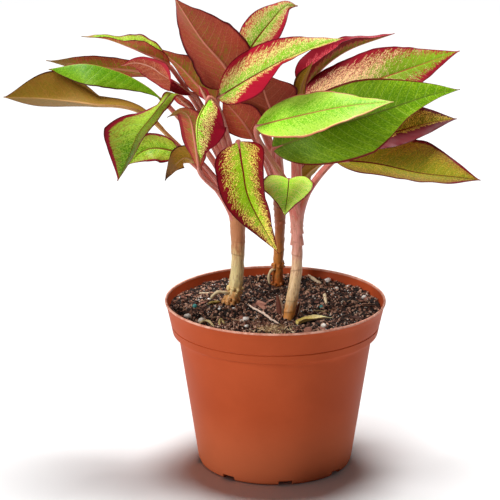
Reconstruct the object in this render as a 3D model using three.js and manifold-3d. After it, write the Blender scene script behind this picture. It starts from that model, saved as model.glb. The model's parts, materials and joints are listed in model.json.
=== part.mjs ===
// A red-edged chinese evergreen in a plastic nursery pot.
// Millimetres, +Z up. The origin is the centre of the pot's base, and -Y is the front.

import * as THREE from 'three';
import { mergeVertices } from 'three/addons/utils/BufferGeometryUtils.js';
import Module from 'manifold-3d';

const wasm = await Module();
wasm.setup();

// ---------------------------------------------------------------- driving dimensions

const POT = {
  height: 119.5,
  rimRadius: 77.5,
  baseRadius: 52.7,
  bandHeight: 23, // the straight collar under the rim
  bandTaper: 5.2, // how far the collar's lower edge lies inside the rim
  wall: 1.5,
  floor: 5,
  sides: 40,
  notches: 8, // drain notches round the bottom corner
  notchWidth: 11,
  notchHeight: 3.4,
  notchDepth: 7,
  notchTurn: 8, // degrees by which the front notch lies to the right of the middle
};

const SOIL = {
  level: 113,
  relief: 2.4, // grain height, from the lowest hollow to the highest lump
  grain: 4.2,
  rings: 12,
  sides: 36,
  gap: 0.35, // clearance to the pot wall and round each stem
  bed: 0.8, // depth below the level of the smooth bed under each piece of litter
  bedReach: 9,
};

const STEM = {
  footLevel: 74,
  sides: 8,
  ringEvery: 15, // leaf scars up the cane
  ringHeight: 0.7,
};

const PETIOLE = {
  sides: 6,
  steps: 6,
  footRadius: 3.4,
  tipRadius: 1.7,
  gapToBlade: 0.35,
  bend: 14, // length over which a stalk turns into its midrib
};

const BLADE = {
  rows: 10,
  cells: 3, // cells across each half
  thickness: 0.8,
  ribDepth: 1.6, // extra depth of the midrib at the leaf's base
  baseHalfWidth: 1.7,
  tipHalfWidth: 0.5,
};

// Each cane: the points of its axis above the soil, and its radii at foot and top.
const CANES = {
  left: {
    axis: [[-31.8, 8, 108], [-31.4, 8.3, 114], [-28.8, 10, 122], [-27, 12.5, 136],
      [-26.4, 15, 155], [-27, 16, 180]],
    radii: [4.8, 4.8, 4.5, 5.1, 6],
  },
  middle: {
    axis: [[1.4, 53.5, 108], [2, 52.5, 130], [3, 50, 155], [3, 45, 182]],
    radii: [4, 3.6, 3.6, 4.8],
  },
  right: {
    axis: [[9, -25.4, 108], [9.4, -25.2, 114], [11.2, -24.4, 126], [13.7, -22, 140],
      [14.9, -19, 152], [14.6, -12, 188]],
    radii: [3.6, 4.1, 3.8, 3.6, 5],
  },
};

// Each leaf: the points of its midrib from base to tip, the way its upper side faces along it,
// its width, and for each half the angles in degrees at which it leaves the midrib (fold) and
// turns on to its edge (curl), and its share of the half width (reach), from base to tip.
// left and right are as seen along the midrib from above. wave is the edge's ripple: its
// height, the number of ripples and where they start.
const LEAVES = [
  {
    name: 'leaf_left_reaching', stem: 'left', from: 0.8,
    rib: [[-65, 20, 222], [-94, 14, 250], [-126, 8, 257], [-158, 4, 262], [-187, 0, 264]],
    faces: [[0, 0.95, 0], [0, 0.95, -0.2]],
    width: 42, widest: 0.72, taper: 1.6,
    left: { fold: [80, 80, 78, 20, 0], curl: [0], reach: [1] },
    right: { fold: [80, 80, 78, 70, 60], curl: [0], reach: [1] },
    wave: [1, 1.5, 0.2],
  },
  {
    name: 'leaf_left_green', stem: 'left', from: 0.86,
    rib: [[-76, 20, 255], [-88, 14, 268], [-106, 6, 280], [-130, -2, 288], [-155, -6, 285]],
    faces: [[0, -0.5, 0.8], [0, -0.7, 0.7]],
    width: 42, widest: 0.68, taper: 1.3,
    left: { fold: [10, 0, 0], curl: [10], reach: [0.6, 0.7, 0.78, 0.9, 1] },
    right: { fold: [-60, -100, -100, -90], curl: [0], reach: [0.8] },
    wave: [1, 1.5, 0],
  },
  {
    name: 'leaf_left_brown', stem: 'left', from: 0.9,
    rib: [[-72, 34, 263], [-90, 32, 274], [-118, 26, 279], [-158, 12, 287]],
    faces: [[0, 0.9, 0.3]],
    width: 16, widest: 0.55, taper: 0.8,
    left: { fold: [20, 10], curl: [0], reach: [1] },
    right: { fold: [20, 10], curl: [0], reach: [1] },
    wave: [0.8, 1.5, 0],
  },
  {
    name: 'leaf_left_arching', stem: 'left', from: 0.95,
    rib: [[-72, -2, 286], [-78, -6, 292], [-88, -9, 297], [-100, -13, 303], [-115, -17, 309],
      [-131, -20, 311]],
    faces: [[0, -0.1, 1]],
    width: 30, widest: 0.3, taper: 0.6,
    left: { fold: [80, 70, 65, 50, 20, 0], curl: [0], reach: [0.2, 0.5, 0.7, 0.35, 0.3, 0.5] },
    right: { fold: [50, 45, 30, 10, 0], curl: [0], reach: [0.2, 0.6, 1, 0.75, 0.8, 1] },
    wave: [0.6, 1.5, 0],
  },
  {
    name: 'leaf_left_small', stem: 'left', from: 0.92,
    rib: [[-56, -2, 267], [-68, -7, 277], [-77, -10, 283], [-85, -13, 289], [-95, -15, 292],
      [-105, -16, 290]],
    faces: [[0.1, 0.8, 0.5]],
    width: 28, widest: 0.45, taper: 0.62,
    left: { fold: [-120, -130, -125, -40, 0, 0, 0, 0], curl: [0], reach: [0.5, 0.6, 0.8, 0.8, 0.8] },
    right: { fold: [10, 5, 0], curl: [0], reach: [1] },
    wave: [1, 2, 0.3],
  },
  {
    name: 'leaf_left_drooping', stem: 'left', from: 0.88,
    rib: [[-54, 2, 253], [-62, -6, 262], [-70, -16, 271], [-77, -26, 266], [-84, -32, 258],
      [-93, -36, 247], [-99, -38, 233], [-107, -38, 215]],
    faces: [[0.3, 0.9, 0.2], [0.3, 0.9, 0.3], [0.2, 0.5, 0.8], [-0.3, -0.6, 0.7],
      [-0.2, -0.9, 0.4], [0, -0.95, 0.3], [0, -0.95, 0.2], [0, -0.95, 0.2]],
    width: 46, widest: 0.67, taper: 1,
    left: {
      fold: [0, 0, -30, -75, -75, -72, -70, -60], curl: [0],
      reach: [0.5, 0.4, 0.25, 0.25, 0.4, 0.5, 0.5, 0.5],
    },
    right: { fold: [0], curl: [0], reach: [0.6, 0.6, 0.3, 0.14, 0.46, 1, 1, 1] },
    wave: [0.8, 1.5, 0],
  },
  {
    name: 'leaf_left_shoot', stem: 'left', from: 0.96,
    rib: [[-46, -20, 266], [-49, -21, 272], [-52, -22, 278]],
    faces: [[0.3, 0.9, 0.2]],
    width: 8, widest: 0.5, taper: 0.62,
    left: { fold: [20], curl: [0], reach: [1] },
    right: { fold: [20], curl: [0], reach: [1] },
    wave: [0.3, 1.5, 0],
  },
  {
    name: 'leaf_left_speckled', stem: 'left', from: 0.7,
    rib: [[-67, 8, 223], [-83, 4, 227], [-93, 0, 225], [-102, -3, 217]],
    faces: [[0, -0.7, 0.7]],
    width: 24, widest: 0.5, taper: 0.62,
    left: { fold: [10, 20], curl: [20], reach: [1] },
    right: { fold: [10, 20], curl: [20], reach: [1] },
    wave: [0.8, 2, 0],
  },
  {
    name: 'leaf_left_curled', stem: 'left', from: 0.75,
    rib: [[-51, 2, 217], [-57, -4, 221], [-63, -8, 224], [-69, -11, 220], [-73, -13, 215],
      [-76, -15, 209]],
    faces: [[0.2, 0.8, 0.5], [0.1, 0.85, 0.5], [-0.2, 0.8, 0.5], [-0.7, 0.5, 0.2]],
    width: 22, widest: 0.35, taper: 0.62,
    left: { fold: [10, 0], curl: [0], reach: [1] },
    right: { fold: [10, 0], curl: [0], reach: [1] },
    wave: [1, 2, 0],
  },
  {
    name: 'leaf_front_inner', stem: 'left', from: 1,
    rib: [[-45, -38, 273], [-52, -47, 260], [-52, -51, 242], [-50, -51, 232]],
    faces: [[0.2, -0.9, 0.3], [0.25, -0.95, 0.1]],
    width: 40, widest: 0.42, taper: 0.62,
    left: { fold: [10, 0, 5], curl: [10], reach: [1, 1, 1.05, 1.2, 1.2] },
    right: { fold: [-95], curl: [0], reach: [0.4] },
    wave: [1, 1.5, 0],
  },
  {
    name: 'leaf_front_dry_tip', stem: 'left', from: 0.82,
    rib: [[-52, -22, 218], [-55, -26, 241], [-58, -30, 257], [-64, -34, 263], [-73, -40, 260]],
    faces: [[0.3, 0.9, 0.3], [0.3, 0.9, 0.3], [0.1, 0.6, 0.8]],
    width: 20, widest: 0.6, taper: 0.9,
    left: { fold: [10, 0], curl: [0], reach: [1] },
    right: { fold: [10, 0], curl: [0], reach: [1] },
    wave: [1.2, 2, 0],
  },
  {
    name: 'leaf_top_tall', stem: 'middle', from: 0.98,
    rib: [[-26, 8, 270], [-37, 0, 289], [-51, -10, 308], [-68, -26, 339]],
    faces: [[0.1, 0.9, 0.4]],
    width: 50, widest: 0.42, taper: 0.62,
    left: { fold: [8, 0], curl: [0], reach: [1] },
    right: { fold: [0, 10, 25, 40, 40, 40], curl: [0], reach: [2, 1.2, 0.95, 0.95, 1, 1, 1] },
    wave: [1.5, 1.5, 0],
  },
  {
    name: 'leaf_top_broad', stem: 'left', from: 0.94,
    rib: [[-43, 30, 254], [-54, 28, 266], [-66, 25, 280], [-82, 22, 294]],
    faces: [[0.1, 0.9, 0.4]],
    width: 42, widest: 0.3, taper: 0.62,
    left: { fold: [10, 5], curl: [10], reach: [1, 0.85, 0.8] },
    right: { fold: [10], curl: [0], reach: [0.35] },
    wave: [0.8, 1.5, 0.3],
  },
  {
    name: 'leaf_top_back', stem: 'middle', from: 0.94,
    rib: [[-20, 30, 288], [-14, 33, 297], [-4, 38, 309], [6, 42, 319], [15, 44, 319]],
    faces: [[-0.4, -0.8, 0.5]],
    width: 31, widest: 0.36, taper: 0.62,
    left: { fold: [12, 0], curl: [0], reach: [1] },
    right: { fold: [20, 0], curl: [0], reach: [1] },
    wave: [1, 2, 0],
  },
  {
    name: 'leaf_centre_upper', stem: 'left', from: 0.97,
    rib: [[-39, -16, 268], [-24, -22, 279], [-10, -25, 288], [5, -28, 297], [20, -29, 304],
      [33, -29, 309], [46, -29, 312]],
    faces: [[-0.3, -0.6, 0.75]],
    width: 42, widest: 0.38, taper: 0.62,
    left: { fold: [10, 5], curl: [10], reach: [1.35, 1.2, 1, 0.95, 0.9] },
    right: {
      fold: [5, 5, 10, 20, 35, 40, 35, 30], curl: [0, 10],
      reach: [1, 1, 1, 1, 0.95, 0.7, 0.25, 0.75, 0.9, 1.05, 1.2, 1.2],
    },
    wave: [1.5, 1.5, 0.1],
  },
  {
    name: 'leaf_right_edge_on', stem: 'right', from: 0.98,
    rib: [[20, 34, 261], [31, 40, 275], [51, 46, 288], [83, 52, 298]],
    faces: [[0, 0.1, 1]],
    width: 24, widest: 0.42, taper: 0.62,
    left: { fold: [55, 50], curl: [0], reach: [2, 1.5, 1, 0.9, 0.8] },
    right: { fold: [55, 50], curl: [0], reach: [1, 0.9, 0.8, 0.6, 0.5] },
    wave: [1, 2, 0],
  },
  {
    name: 'leaf_right_pink', stem: 'right', from: 0.95,
    rib: [[17, 20, 252], [41, 24, 261], [72, 24, 272], [103, 20, 284], [126, 14, 294]],
    faces: [[-0.2, -0.7, 0.7]],
    width: 44, widest: 0.5, taper: 0.62,
    left: { fold: [8, 5], curl: [5], reach: [1.3, 1.15, 1, 1] },
    right: { fold: [8, 5], curl: [5], reach: [1] },
    wave: [1, 2, 0],
  },
  {
    name: 'leaf_right_large', stem: 'right', from: 0.85,
    rib: [[-2, -4, 229], [30, -14, 244], [68, -18, 258], [105, -16, 270], [125, -12, 273]],
    faces: [[0, -0.9, 0.4], [0.1, -0.85, 0.5]],
    width: 52, widest: 0.45, taper: 0.62,
    left: { fold: [20, 25, 20], curl: [10], reach: [1] },
    right: { fold: [5, 0, 5], curl: [5], reach: [1, 1, 1, 1, 1, 1, 0.85, 0.6, 0.5, 0.5, 0.6] },
    wave: [1.2, 2, 0],
  },
  {
    name: 'leaf_right_lime', stem: 'right', from: 0.9,
    rib: [[-13, -40, 254], [16, -50, 264], [47, -56, 272], [78, -56, 275]],
    faces: [[0, -0.5, 0.85]],
    width: 40, widest: 0.42, taper: 0.62,
    left: { fold: [5, 5], curl: [5], reach: [1.35, 1.2, 0.95, 0.82, 0.82, 0.9] },
    right: { fold: [5, 5], curl: [10], reach: [1] },
    wave: [1, 2, 0],
  },
  {
    name: 'leaf_right_dark', stem: 'right', from: 0.88,
    rib: [[51, 4, 228], [86, 8, 239], [106, 10, 244], [125, 10, 247]],
    faces: [[0, -0.7, 0.7]],
    width: 38, widest: 0.5, taper: 0.62,
    left: { fold: [8, 5], curl: [5], reach: [1] },
    right: { fold: [25, 20], curl: [0], reach: [0.78] },
    wave: [1, 2, 0],
  },
  {
    name: 'leaf_right_low', stem: 'right', from: 0.8,
    rib: [[41, 8, 218], [69, 2, 217], [99, -4, 212], [127, -8, 210], [141, -8, 208]],
    faces: [[0, -0.8, 0.6], [0, -0.85, 0.5]],
    width: 46, widest: 0.55, taper: 0.62,
    left: { fold: [5, 5, 0], curl: [5], reach: [1] },
    right: { fold: [-78, -78, -78, -60], curl: [0], reach: [1, 0.8, 0.5, 0.6, 0.7] },
    wave: [1.6, 2.6, 0.5],
  },
  {
    name: 'leaf_front_hanging', stem: 'left', from: 0.93,
    rib: [[-25, -40, 243], [-22, -51, 227], [-17, -57, 206], [2, -54, 169]],
    faces: [[0, -0.8, 0.6], [0.1, -0.95, 0.3]],
    width: 38, widest: 0.34, taper: 0.62,
    left: { fold: [20, 50, 50, 30, 10], curl: [0], reach: [1.5, 1.1, 0.8, 0.68, 0.85] },
    right: { fold: [5, 5], curl: [10], reach: [1.4, 1, 0.9, 0.8, 0.9] },
    wave: [1.2, 1.5, 0.2],
  },
  {
    name: 'leaf_front_heart', stem: 'right', from: 0.8,
    rib: [[9, -26, 213], [8, -44, 208], [6, -60, 197]],
    faces: [[0, -0.4, 0.9]],
    width: 40, widest: 0.5, taper: 0.45,
    left: { fold: [50, 30], curl: [50], reach: [1, 1, 1, 1, 0.92, 0.74, 0.54, 0.5, 0.5] },
    right: { fold: [50, 30], curl: [50], reach: [1, 1, 1, 1, 0.92, 0.74, 0.54, 0.5, 0.5] },
    wave: [1, 1.5, 0.2],
  },
  {
    name: 'leaf_centre_under', stem: 'middle', from: 0.84,
    rib: [[-15, 12, 232], [-24, 8, 247], [-37, 2, 263]],
    faces: [[0.2, 0.9, 0.4]],
    width: 30, widest: 0.4, taper: 0.62,
    left: { fold: [5], curl: [5], reach: [1] },
    right: { fold: [5], curl: [5], reach: [1] },
    wave: [1, 1.5, 0.2],
  },
  {
    name: 'leaf_centre_brown', stem: 'middle', from: 0.9,
    rib: [[-1, 8, 249], [-7, 2, 265], [-11, -5, 284]],
    faces: [[0.2, 0.9, 0.4]],
    width: 42, widest: 0.5, taper: 0.62,
    left: { fold: [5], curl: [5], reach: [1, 1.2] },
    right: { fold: [5], curl: [5], reach: [1] },
    wave: [1, 1.5, 0.2],
  },
  {
    name: 'leaf_centre_strip', stem: 'right', from: 0.97,
    rib: [[17, 6, 257], [18, 8, 271], [25, 10, 287]],
    faces: [[-0.3, 0.9, 0.3]],
    width: 13, widest: 0.45, taper: 0.62,
    left: { fold: [40], curl: [0], reach: [1] },
    right: { fold: [40], curl: [0], reach: [1] },
    wave: [0.6, 1.5, 0.2],
  },
  {
    name: 'leaf_right_small', stem: 'right', from: 0.7,
    rib: [[16, 18, 196], [24, 26, 205], [36, 36, 210]],
    faces: [[0, 0.9, 0.4]],
    width: 14, widest: 0.45, taper: 0.62,
    left: { fold: [10], curl: [0], reach: [1] },
    right: { fold: [10], curl: [0], reach: [1] },
    wave: [0.4, 1.5, 0.2],
  },
  {
    name: 'leaf_back_right', stem: 'middle', from: 0.86,
    rib: [[8, 60, 232], [32, 74, 238], [62, 86, 241], [90, 92, 236]],
    faces: [[0.1, 0.5, 0.85]],
    width: 42, widest: 0.45, taper: 0.62,
    left: { fold: [10, 5], curl: [10], reach: [1] },
    right: { fold: [10, 5], curl: [10], reach: [1] },
    wave: [1.2, 2, 0.1],
  },
  {
    name: 'leaf_back_left', stem: 'middle', from: 0.78,
    rib: [[-16, 62, 221], [-22, 80, 230], [-28, 94, 238], [-33, 106, 244]],
    faces: [[-0.2, 0.4, 0.9]],
    width: 30, widest: 0.42, taper: 0.62,
    left: { fold: [10, 5], curl: [10], reach: [1] },
    right: { fold: [10, 5], curl: [10], reach: [1] },
    wave: [1.2, 2, 0.4],
  },
  {
    name: 'leaf_back_top', stem: 'middle', from: 1,
    rib: [[2, 58, 237], [3, 74, 242], [6, 88, 243], [10, 102, 240]],
    faces: [[0, 0.4, 0.9]],
    width: 28, widest: 0.42, taper: 0.62,
    left: { fold: [12, 5], curl: [10], reach: [1] },
    right: { fold: [12, 5], curl: [10], reach: [1] },
    wave: [1, 2, 0.7],
  },
  {
    name: 'leaf_back_low', stem: 'middle', from: 0.7,
    rib: [[26, 66, 208], [46, 78, 216], [64, 88, 214], [80, 96, 204]],
    faces: [[0.2, 0.4, 0.9]],
    width: 34, widest: 0.42, taper: 0.62,
    left: { fold: [10, 5], curl: [10], reach: [1] },
    right: { fold: [10, 5], curl: [10], reach: [1] },
    wave: [1, 2, 0.2],
  },
];

// What lies loose on the soil: a dry bract, shaped as a blade is, and a bare white root.
const BRACT = {
  rib: [[15, -38, 114.7], [21.5, -31.8, 114.3], [29.5, -26.8, 113.9], [39.5, -24.2, 113.4]],
  faces: [[0, 0, 1]],
  width: 5.4, widest: 0.5, taper: 0.6,
  left: { fold: [35], curl: [-20], reach: [1] },
  right: { fold: [20], curl: [-30], reach: [1] },
  wave: [0.3, 1.5, 0],
};

const ROOT = {
  path: [[-18.6, 2.4, 113.5], [-13.7, -6.6, 113.5], [-8, -16.5, 113.7], [-3, -27.5, 113.5],
    [2.4, -37.2, 113.5]],
  radii: [0.5, 0.8, 0.8, 0.8, 0.5],
  sides: 6,
};

// ---------------------------------------------------------------- solids and meshes

function vector([x, y, z]) {
  return new THREE.Vector3(x, y, z);
}

function toSolid(geometry) {
  const bare = geometry.clone();
  bare.deleteAttribute('normal');
  bare.deleteAttribute('uv');
  const merged = mergeVertices(bare, 1e-4);
  return new wasm.Manifold(new wasm.Mesh({
    numProp: 3,
    vertProperties: new Float32Array(merged.attributes.position.array),
    triVerts: new Uint32Array(merged.index.array),
  }));
}

function toGeometry(solid) {
  const mesh = solid.getMesh();
  return indexedGeometry(mesh.vertProperties, mesh.triVerts);
}

function indexedGeometry(positions, faces) {
  const geometry = new THREE.BufferGeometry();
  geometry.setAttribute('position', new THREE.BufferAttribute(new Float32Array(positions), 3));
  geometry.setIndex(Array.from(faces));
  geometry.computeVertexNormals();
  return geometry;
}

// A value that changes evenly along a list of numbers, at share t of its length.
function valueAlong(list, t) {
  const place = t * (list.length - 1);
  const index = Math.min(Math.floor(place), Math.max(list.length - 2, 0));
  const next = Math.min(index + 1, list.length - 1);
  return THREE.MathUtils.lerp(list[index], list[next], place - index);
}

function directionAlong(list, t) {
  return new THREE.Vector3(
    valueAlong(list.map((d) => d[0]), t),
    valueAlong(list.map((d) => d[1]), t),
    valueAlong(list.map((d) => d[2]), t),
  );
}

function smoothCurve(points) {
  return new THREE.CatmullRomCurve3(points.map(vector), false, 'catmullrom', 0.5);
}

// ---------------------------------------------------------------- pot

function potOuterProfile() {
  const { height, rimRadius, baseRadius, bandHeight, bandTaper } = POT;
  const bandFoot = height - bandHeight;
  const bandRadius = rimRadius - bandTaper;
  return [
    [baseRadius - 1.5, 0],
    [baseRadius + 0.8, 1.2],
    [baseRadius + 1.9, 4.5],
    [bandRadius - 5.1, bandFoot - 8],
    [bandRadius - 4.6, bandFoot - 3.4],
    [bandRadius - 3.2, bandFoot - 1.2],
    [bandRadius - 0.6, bandFoot - 0.3],
    [bandRadius, bandFoot + 0.4],
    [bandRadius + 0.9, bandFoot + 5.2],
    [bandRadius + 0.5, bandFoot + 5.7],
    [bandRadius + 1.1, bandFoot + 6.3],
    [rimRadius - 0.8, height - 2],
    [rimRadius, height - 1.2],
    [rimRadius, height],
  ];
}

function potInnerProfile() {
  const { height, rimRadius, baseRadius, bandHeight, bandTaper, wall, floor } = POT;
  const bandFoot = height - bandHeight;
  const bandRadius = rimRadius - bandTaper - wall;
  return [
    [rimRadius - wall, height],
    [bandRadius + 0.3, bandFoot + 2],
    [bandRadius - 2.6, bandFoot + 0.6],
    [bandRadius - 4.6, bandFoot - 2.4],
    [bandRadius - 5.1, bandFoot - 8],
    [baseRadius + 1.9 - wall, floor + 3],
    [baseRadius - 1.5, floor],
  ];
}

function lathe(profile, sides) {
  const points = profile.map(([radius, z]) => new THREE.Vector2(radius, z));
  return toSolid(new THREE.LatheGeometry(points, sides).rotateX(Math.PI / 2));
}

function drainNotch(turn) {
  const { baseRadius, notchWidth, notchHeight, notchDepth } = POT;
  const box = new THREE.BoxGeometry(2 * notchDepth, notchWidth, 2 * notchHeight);
  box.translate(baseRadius + 1, 0, 0);
  return toSolid(box.rotateZ(turn));
}

function potGeometry() {
  const profile = [[0, 0], ...potOuterProfile(), ...potInnerProfile(), [0, POT.floor]];
  let pot = lathe(profile, POT.sides);
  for (let i = 0; i < POT.notches; i += 1) {
    const turn = THREE.MathUtils.degToRad((360 * i) / POT.notches + POT.notchTurn);
    pot = pot.subtract(drainNotch(turn));
  }
  return toGeometry(pot);
}

// ---------------------------------------------------------------- soil

// A repeatable draw between 0 and 1 for a cell of the soil's grain.
function grainDraw(i, j) {
  const wave = Math.sin(i * 127.1 + j * 311.7 + 17.3) * 43758.5453;
  return wave - Math.floor(wave);
}

function grainHeight(x, y) {
  const u = x / SOIL.grain;
  const v = y / SOIL.grain;
  const i = Math.floor(u);
  const j = Math.floor(v);
  const low = THREE.MathUtils.lerp(grainDraw(i, j), grainDraw(i + 1, j), u - i);
  const high = THREE.MathUtils.lerp(grainDraw(i, j + 1), grainDraw(i + 1, j + 1), u - i);
  return THREE.MathUtils.lerp(low, high, v - j);
}

// The distance over the ground from a spot to the line through the given points.
function distanceToLine(x, y, points) {
  const spot = new THREE.Vector3(x, y, 0);
  const nearest = new THREE.Vector3();
  let least = Infinity;
  for (let k = 0; k + 1 < points.length; k += 1) {
    const [from, to] = [points[k], points[k + 1]].map(([px, py]) => vector([px, py, 0]));
    new THREE.Line3(from, to).closestPointToPoint(spot, true, nearest);
    least = Math.min(least, nearest.distanceTo(spot));
  }
  return least;
}

function soilHeight(x, y) {
  const litter = [BRACT.rib, ROOT.path].map((line) => distanceToLine(x, y, line));
  if (Math.min(...litter) < SOIL.bedReach) return SOIL.level - SOIL.bed;
  return SOIL.level + SOIL.relief * (grainHeight(x, y) - 0.5);
}

// The inner wall of the pot at height z, less the clearance.
function soilRadius(z) {
  const wall = potInnerProfile();
  for (let k = 0; k + 1 < wall.length; k += 1) {
    const [upperRadius, upperZ] = wall[k];
    const [lowerRadius, lowerZ] = wall[k + 1];
    if (z >= lowerZ) {
      const share = (z - lowerZ) / (upperZ - lowerZ);
      return THREE.MathUtils.lerp(lowerRadius, upperRadius, share) - SOIL.gap - 0.2;
    }
  }
  return wall[wall.length - 1][0] - SOIL.gap;
}

// Rings of points: the grainy top from the middle outwards, then down the wall to the bottom.
function soilGeometry() {
  const { rings, sides, level, gap } = SOIL;
  const bottom = POT.floor + gap;
  const wallLevels = potInnerProfile().slice(1, -1).map(([, z]) => z);
  const edge = soilRadius(level - 2);
  const positions = [0, 0, soilHeight(0, 0)];
  const radii = [];
  for (let k = 1; k <= rings; k += 1) radii.push([(edge * k) / rings, null]);
  for (const z of wallLevels) radii.push([soilRadius(z), z]);
  radii.push([soilRadius(bottom + 0.5), bottom + 0.5]);
  for (const [radius, z] of radii) {
    for (let j = 0; j < sides; j += 1) {
      const turn = (2 * Math.PI * j) / sides;
      const x = radius * Math.cos(turn);
      const y = radius * Math.sin(turn);
      positions.push(x, y, z ?? soilHeight(x, y));
    }
  }
  positions.push(0, 0, bottom + 0.5);
  return indexedGeometry(positions, closedRings(radii.length, sides));
}

// Triangles of a body made of a first point, rings of points and a last point.
function closedRings(rings, sides) {
  const faces = [];
  const last = 1 + rings * sides;
  for (let j = 0; j < sides; j += 1) {
    const next = (j + 1) % sides;
    faces.push(0, 1 + j, 1 + next);
    for (let k = 0; k + 1 < rings; k += 1) {
      const a = 1 + k * sides + j;
      const b = 1 + k * sides + next;
      faces.push(a, a + sides, b + sides, a, b + sides, b);
    }
    faces.push(last, last - sides + next, last - sides + j);
  }
  return faces;
}

function stemHole(cane) {
  const [x, y] = cane.axis[0];
  const sides = 12;
  const reach = (cane.radii[0] + STEM.ringHeight + SOIL.gap) / Math.cos(Math.PI / sides);
  const depth = 60;
  const hole = new THREE.CylinderGeometry(reach, reach, depth, sides).rotateX(Math.PI / 2);
  hole.translate(x, y, STEM.footLevel - SOIL.gap + depth / 2);
  return toSolid(hole);
}

function pottedSoil() {
  let soil = toSolid(soilGeometry());
  for (const cane of Object.values(CANES)) soil = soil.subtract(stemHole(cane));
  return toGeometry(soil);
}

// ---------------------------------------------------------------- stems

// A closed tube through the points, with a radius for each, and its last face square to
// the direction in which it ends.
function tube(points, radii, sides, ending) {
  const positions = [...points[0].toArray()];
  let across = new THREE.Vector3(1, 0, 0);
  points.forEach((point, k) => {
    const last = k === points.length - 1;
    const before = points[Math.max(k - 1, 0)];
    const after = points[Math.min(k + 1, points.length - 1)];
    const along = last ? ending.clone() : after.clone().sub(before).normalize();
    across = across.clone().addScaledVector(along, -across.dot(along)).normalize();
    const beside = along.clone().cross(across);
    for (let j = 0; j < sides; j += 1) {
      const turn = (-2 * Math.PI * j) / sides;
      const spot = point.clone();
      spot.addScaledVector(across, radii[k] * Math.cos(turn));
      spot.addScaledVector(beside, radii[k] * Math.sin(turn));
      positions.push(...spot.toArray());
    }
  });
  positions.push(...points[points.length - 1].toArray());
  return indexedGeometry(positions, closedRings(points.length, sides));
}

function caneSolid(cane) {
  const axis = smoothCurve(cane.axis);
  const length = axis.getLength();
  const [footX, footY] = cane.axis[0];
  const points = [new THREE.Vector3(footX, footY, STEM.footLevel)];
  const radii = [cane.radii[0] * 0.8];
  const rings = Math.round(length / STEM.ringEvery);
  for (let k = 0; k <= 3 * rings; k += 1) {
    const share = k / (3 * rings);
    const bump = k % 3 === 1 ? STEM.ringHeight : 0;
    points.push(axis.getPointAt(share));
    radii.push(valueAlong(cane.radii, share) + bump);
  }
  const upwards = new THREE.Vector3(0, 0, 1);
  points.push(points[points.length - 1].clone().addScaledVector(upwards, 4));
  radii.push(cane.radii[cane.radii.length - 1] * 0.5);
  return toSolid(tube(points, radii, STEM.sides, upwards));
}

function petioleSolid(leaf) {
  const axis = smoothCurve(CANES[leaf.stem].axis);
  const start = axis.getPointAt(leaf.from);
  const rib = smoothCurve(leaf.rib);
  const heading = rib.getTangentAt(0);
  const end = rib.getPointAt(0).addScaledVector(heading, -PETIOLE.gapToBlade);
  const reach = start.distanceTo(end) * 0.35;
  const chord = end.clone().sub(start).normalize();
  const arrival = heading.clone().add(chord).normalize();
  const path = new THREE.CubicBezierCurve3(
    start,
    start.clone().add(new THREE.Vector3(0, 0, reach)),
    end.clone().addScaledVector(arrival, -Math.min(reach, PETIOLE.bend)),
    end,
  );
  const points = path.getSpacedPoints(PETIOLE.steps);
  const radii = points.map((_, k) => {
    const share = k / PETIOLE.steps;
    const swell = (1 - share) ** 2;
    return THREE.MathUtils.lerp(PETIOLE.tipRadius, PETIOLE.footRadius, swell);
  });
  return toSolid(tube(points, radii, PETIOLE.sides, heading));
}

function rootGeometry() {
  const points = smoothCurve(ROOT.path).getSpacedPoints(10);
  const radii = points.map((_, k) => valueAlong(ROOT.radii, k / (points.length - 1)));
  const ending = points[10].clone().sub(points[9]).normalize();
  return toGeometry(toSolid(tube(points, radii, ROOT.sides, ending)));
}

function stemGeometry(name) {
  let stem = caneSolid(CANES[name]);
  for (const leaf of LEAVES.filter((each) => each.stem === name)) {
    stem = stem.add(petioleSolid(leaf));
  }
  return toGeometry(stem);
}

// ---------------------------------------------------------------- leaves

// Half width of a blade as a share of its widest, at share t from base to tip.
function outline(t, { widest, taper }) {
  if (t < widest) return (1 - (1 - t / widest) ** 2.2) ** taper;
  return Math.cos((Math.PI / 2) * ((t - widest) / (1 - widest))) ** 1.25;
}

// Where share s of a half blade lies beside and above the midrib, in half widths,
// and the angle at which it runs there.
function section(half, t, s) {
  const fold = THREE.MathUtils.degToRad(valueAlong(half.fold, t));
  const curl = THREE.MathUtils.degToRad(valueAlong(half.curl, t));
  if (Math.abs(curl) < 1e-4) {
    return { out: s * Math.cos(fold), up: s * Math.sin(fold), angle: fold };
  }
  const angle = fold - curl * s;
  return {
    out: (Math.sin(fold) - Math.sin(angle)) / curl,
    up: (Math.cos(angle) - Math.cos(fold)) / curl,
    angle,
  };
}

function edgeWave([height, count, start], t, s) {
  const side = s > 0 ? 0 : 1.3;
  const fade = Math.min(1, 4 * t) * Math.min(1, 4 * (1 - t));
  return height * s * s * fade * Math.sin(2 * Math.PI * (count * t + start) + side);
}

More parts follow.
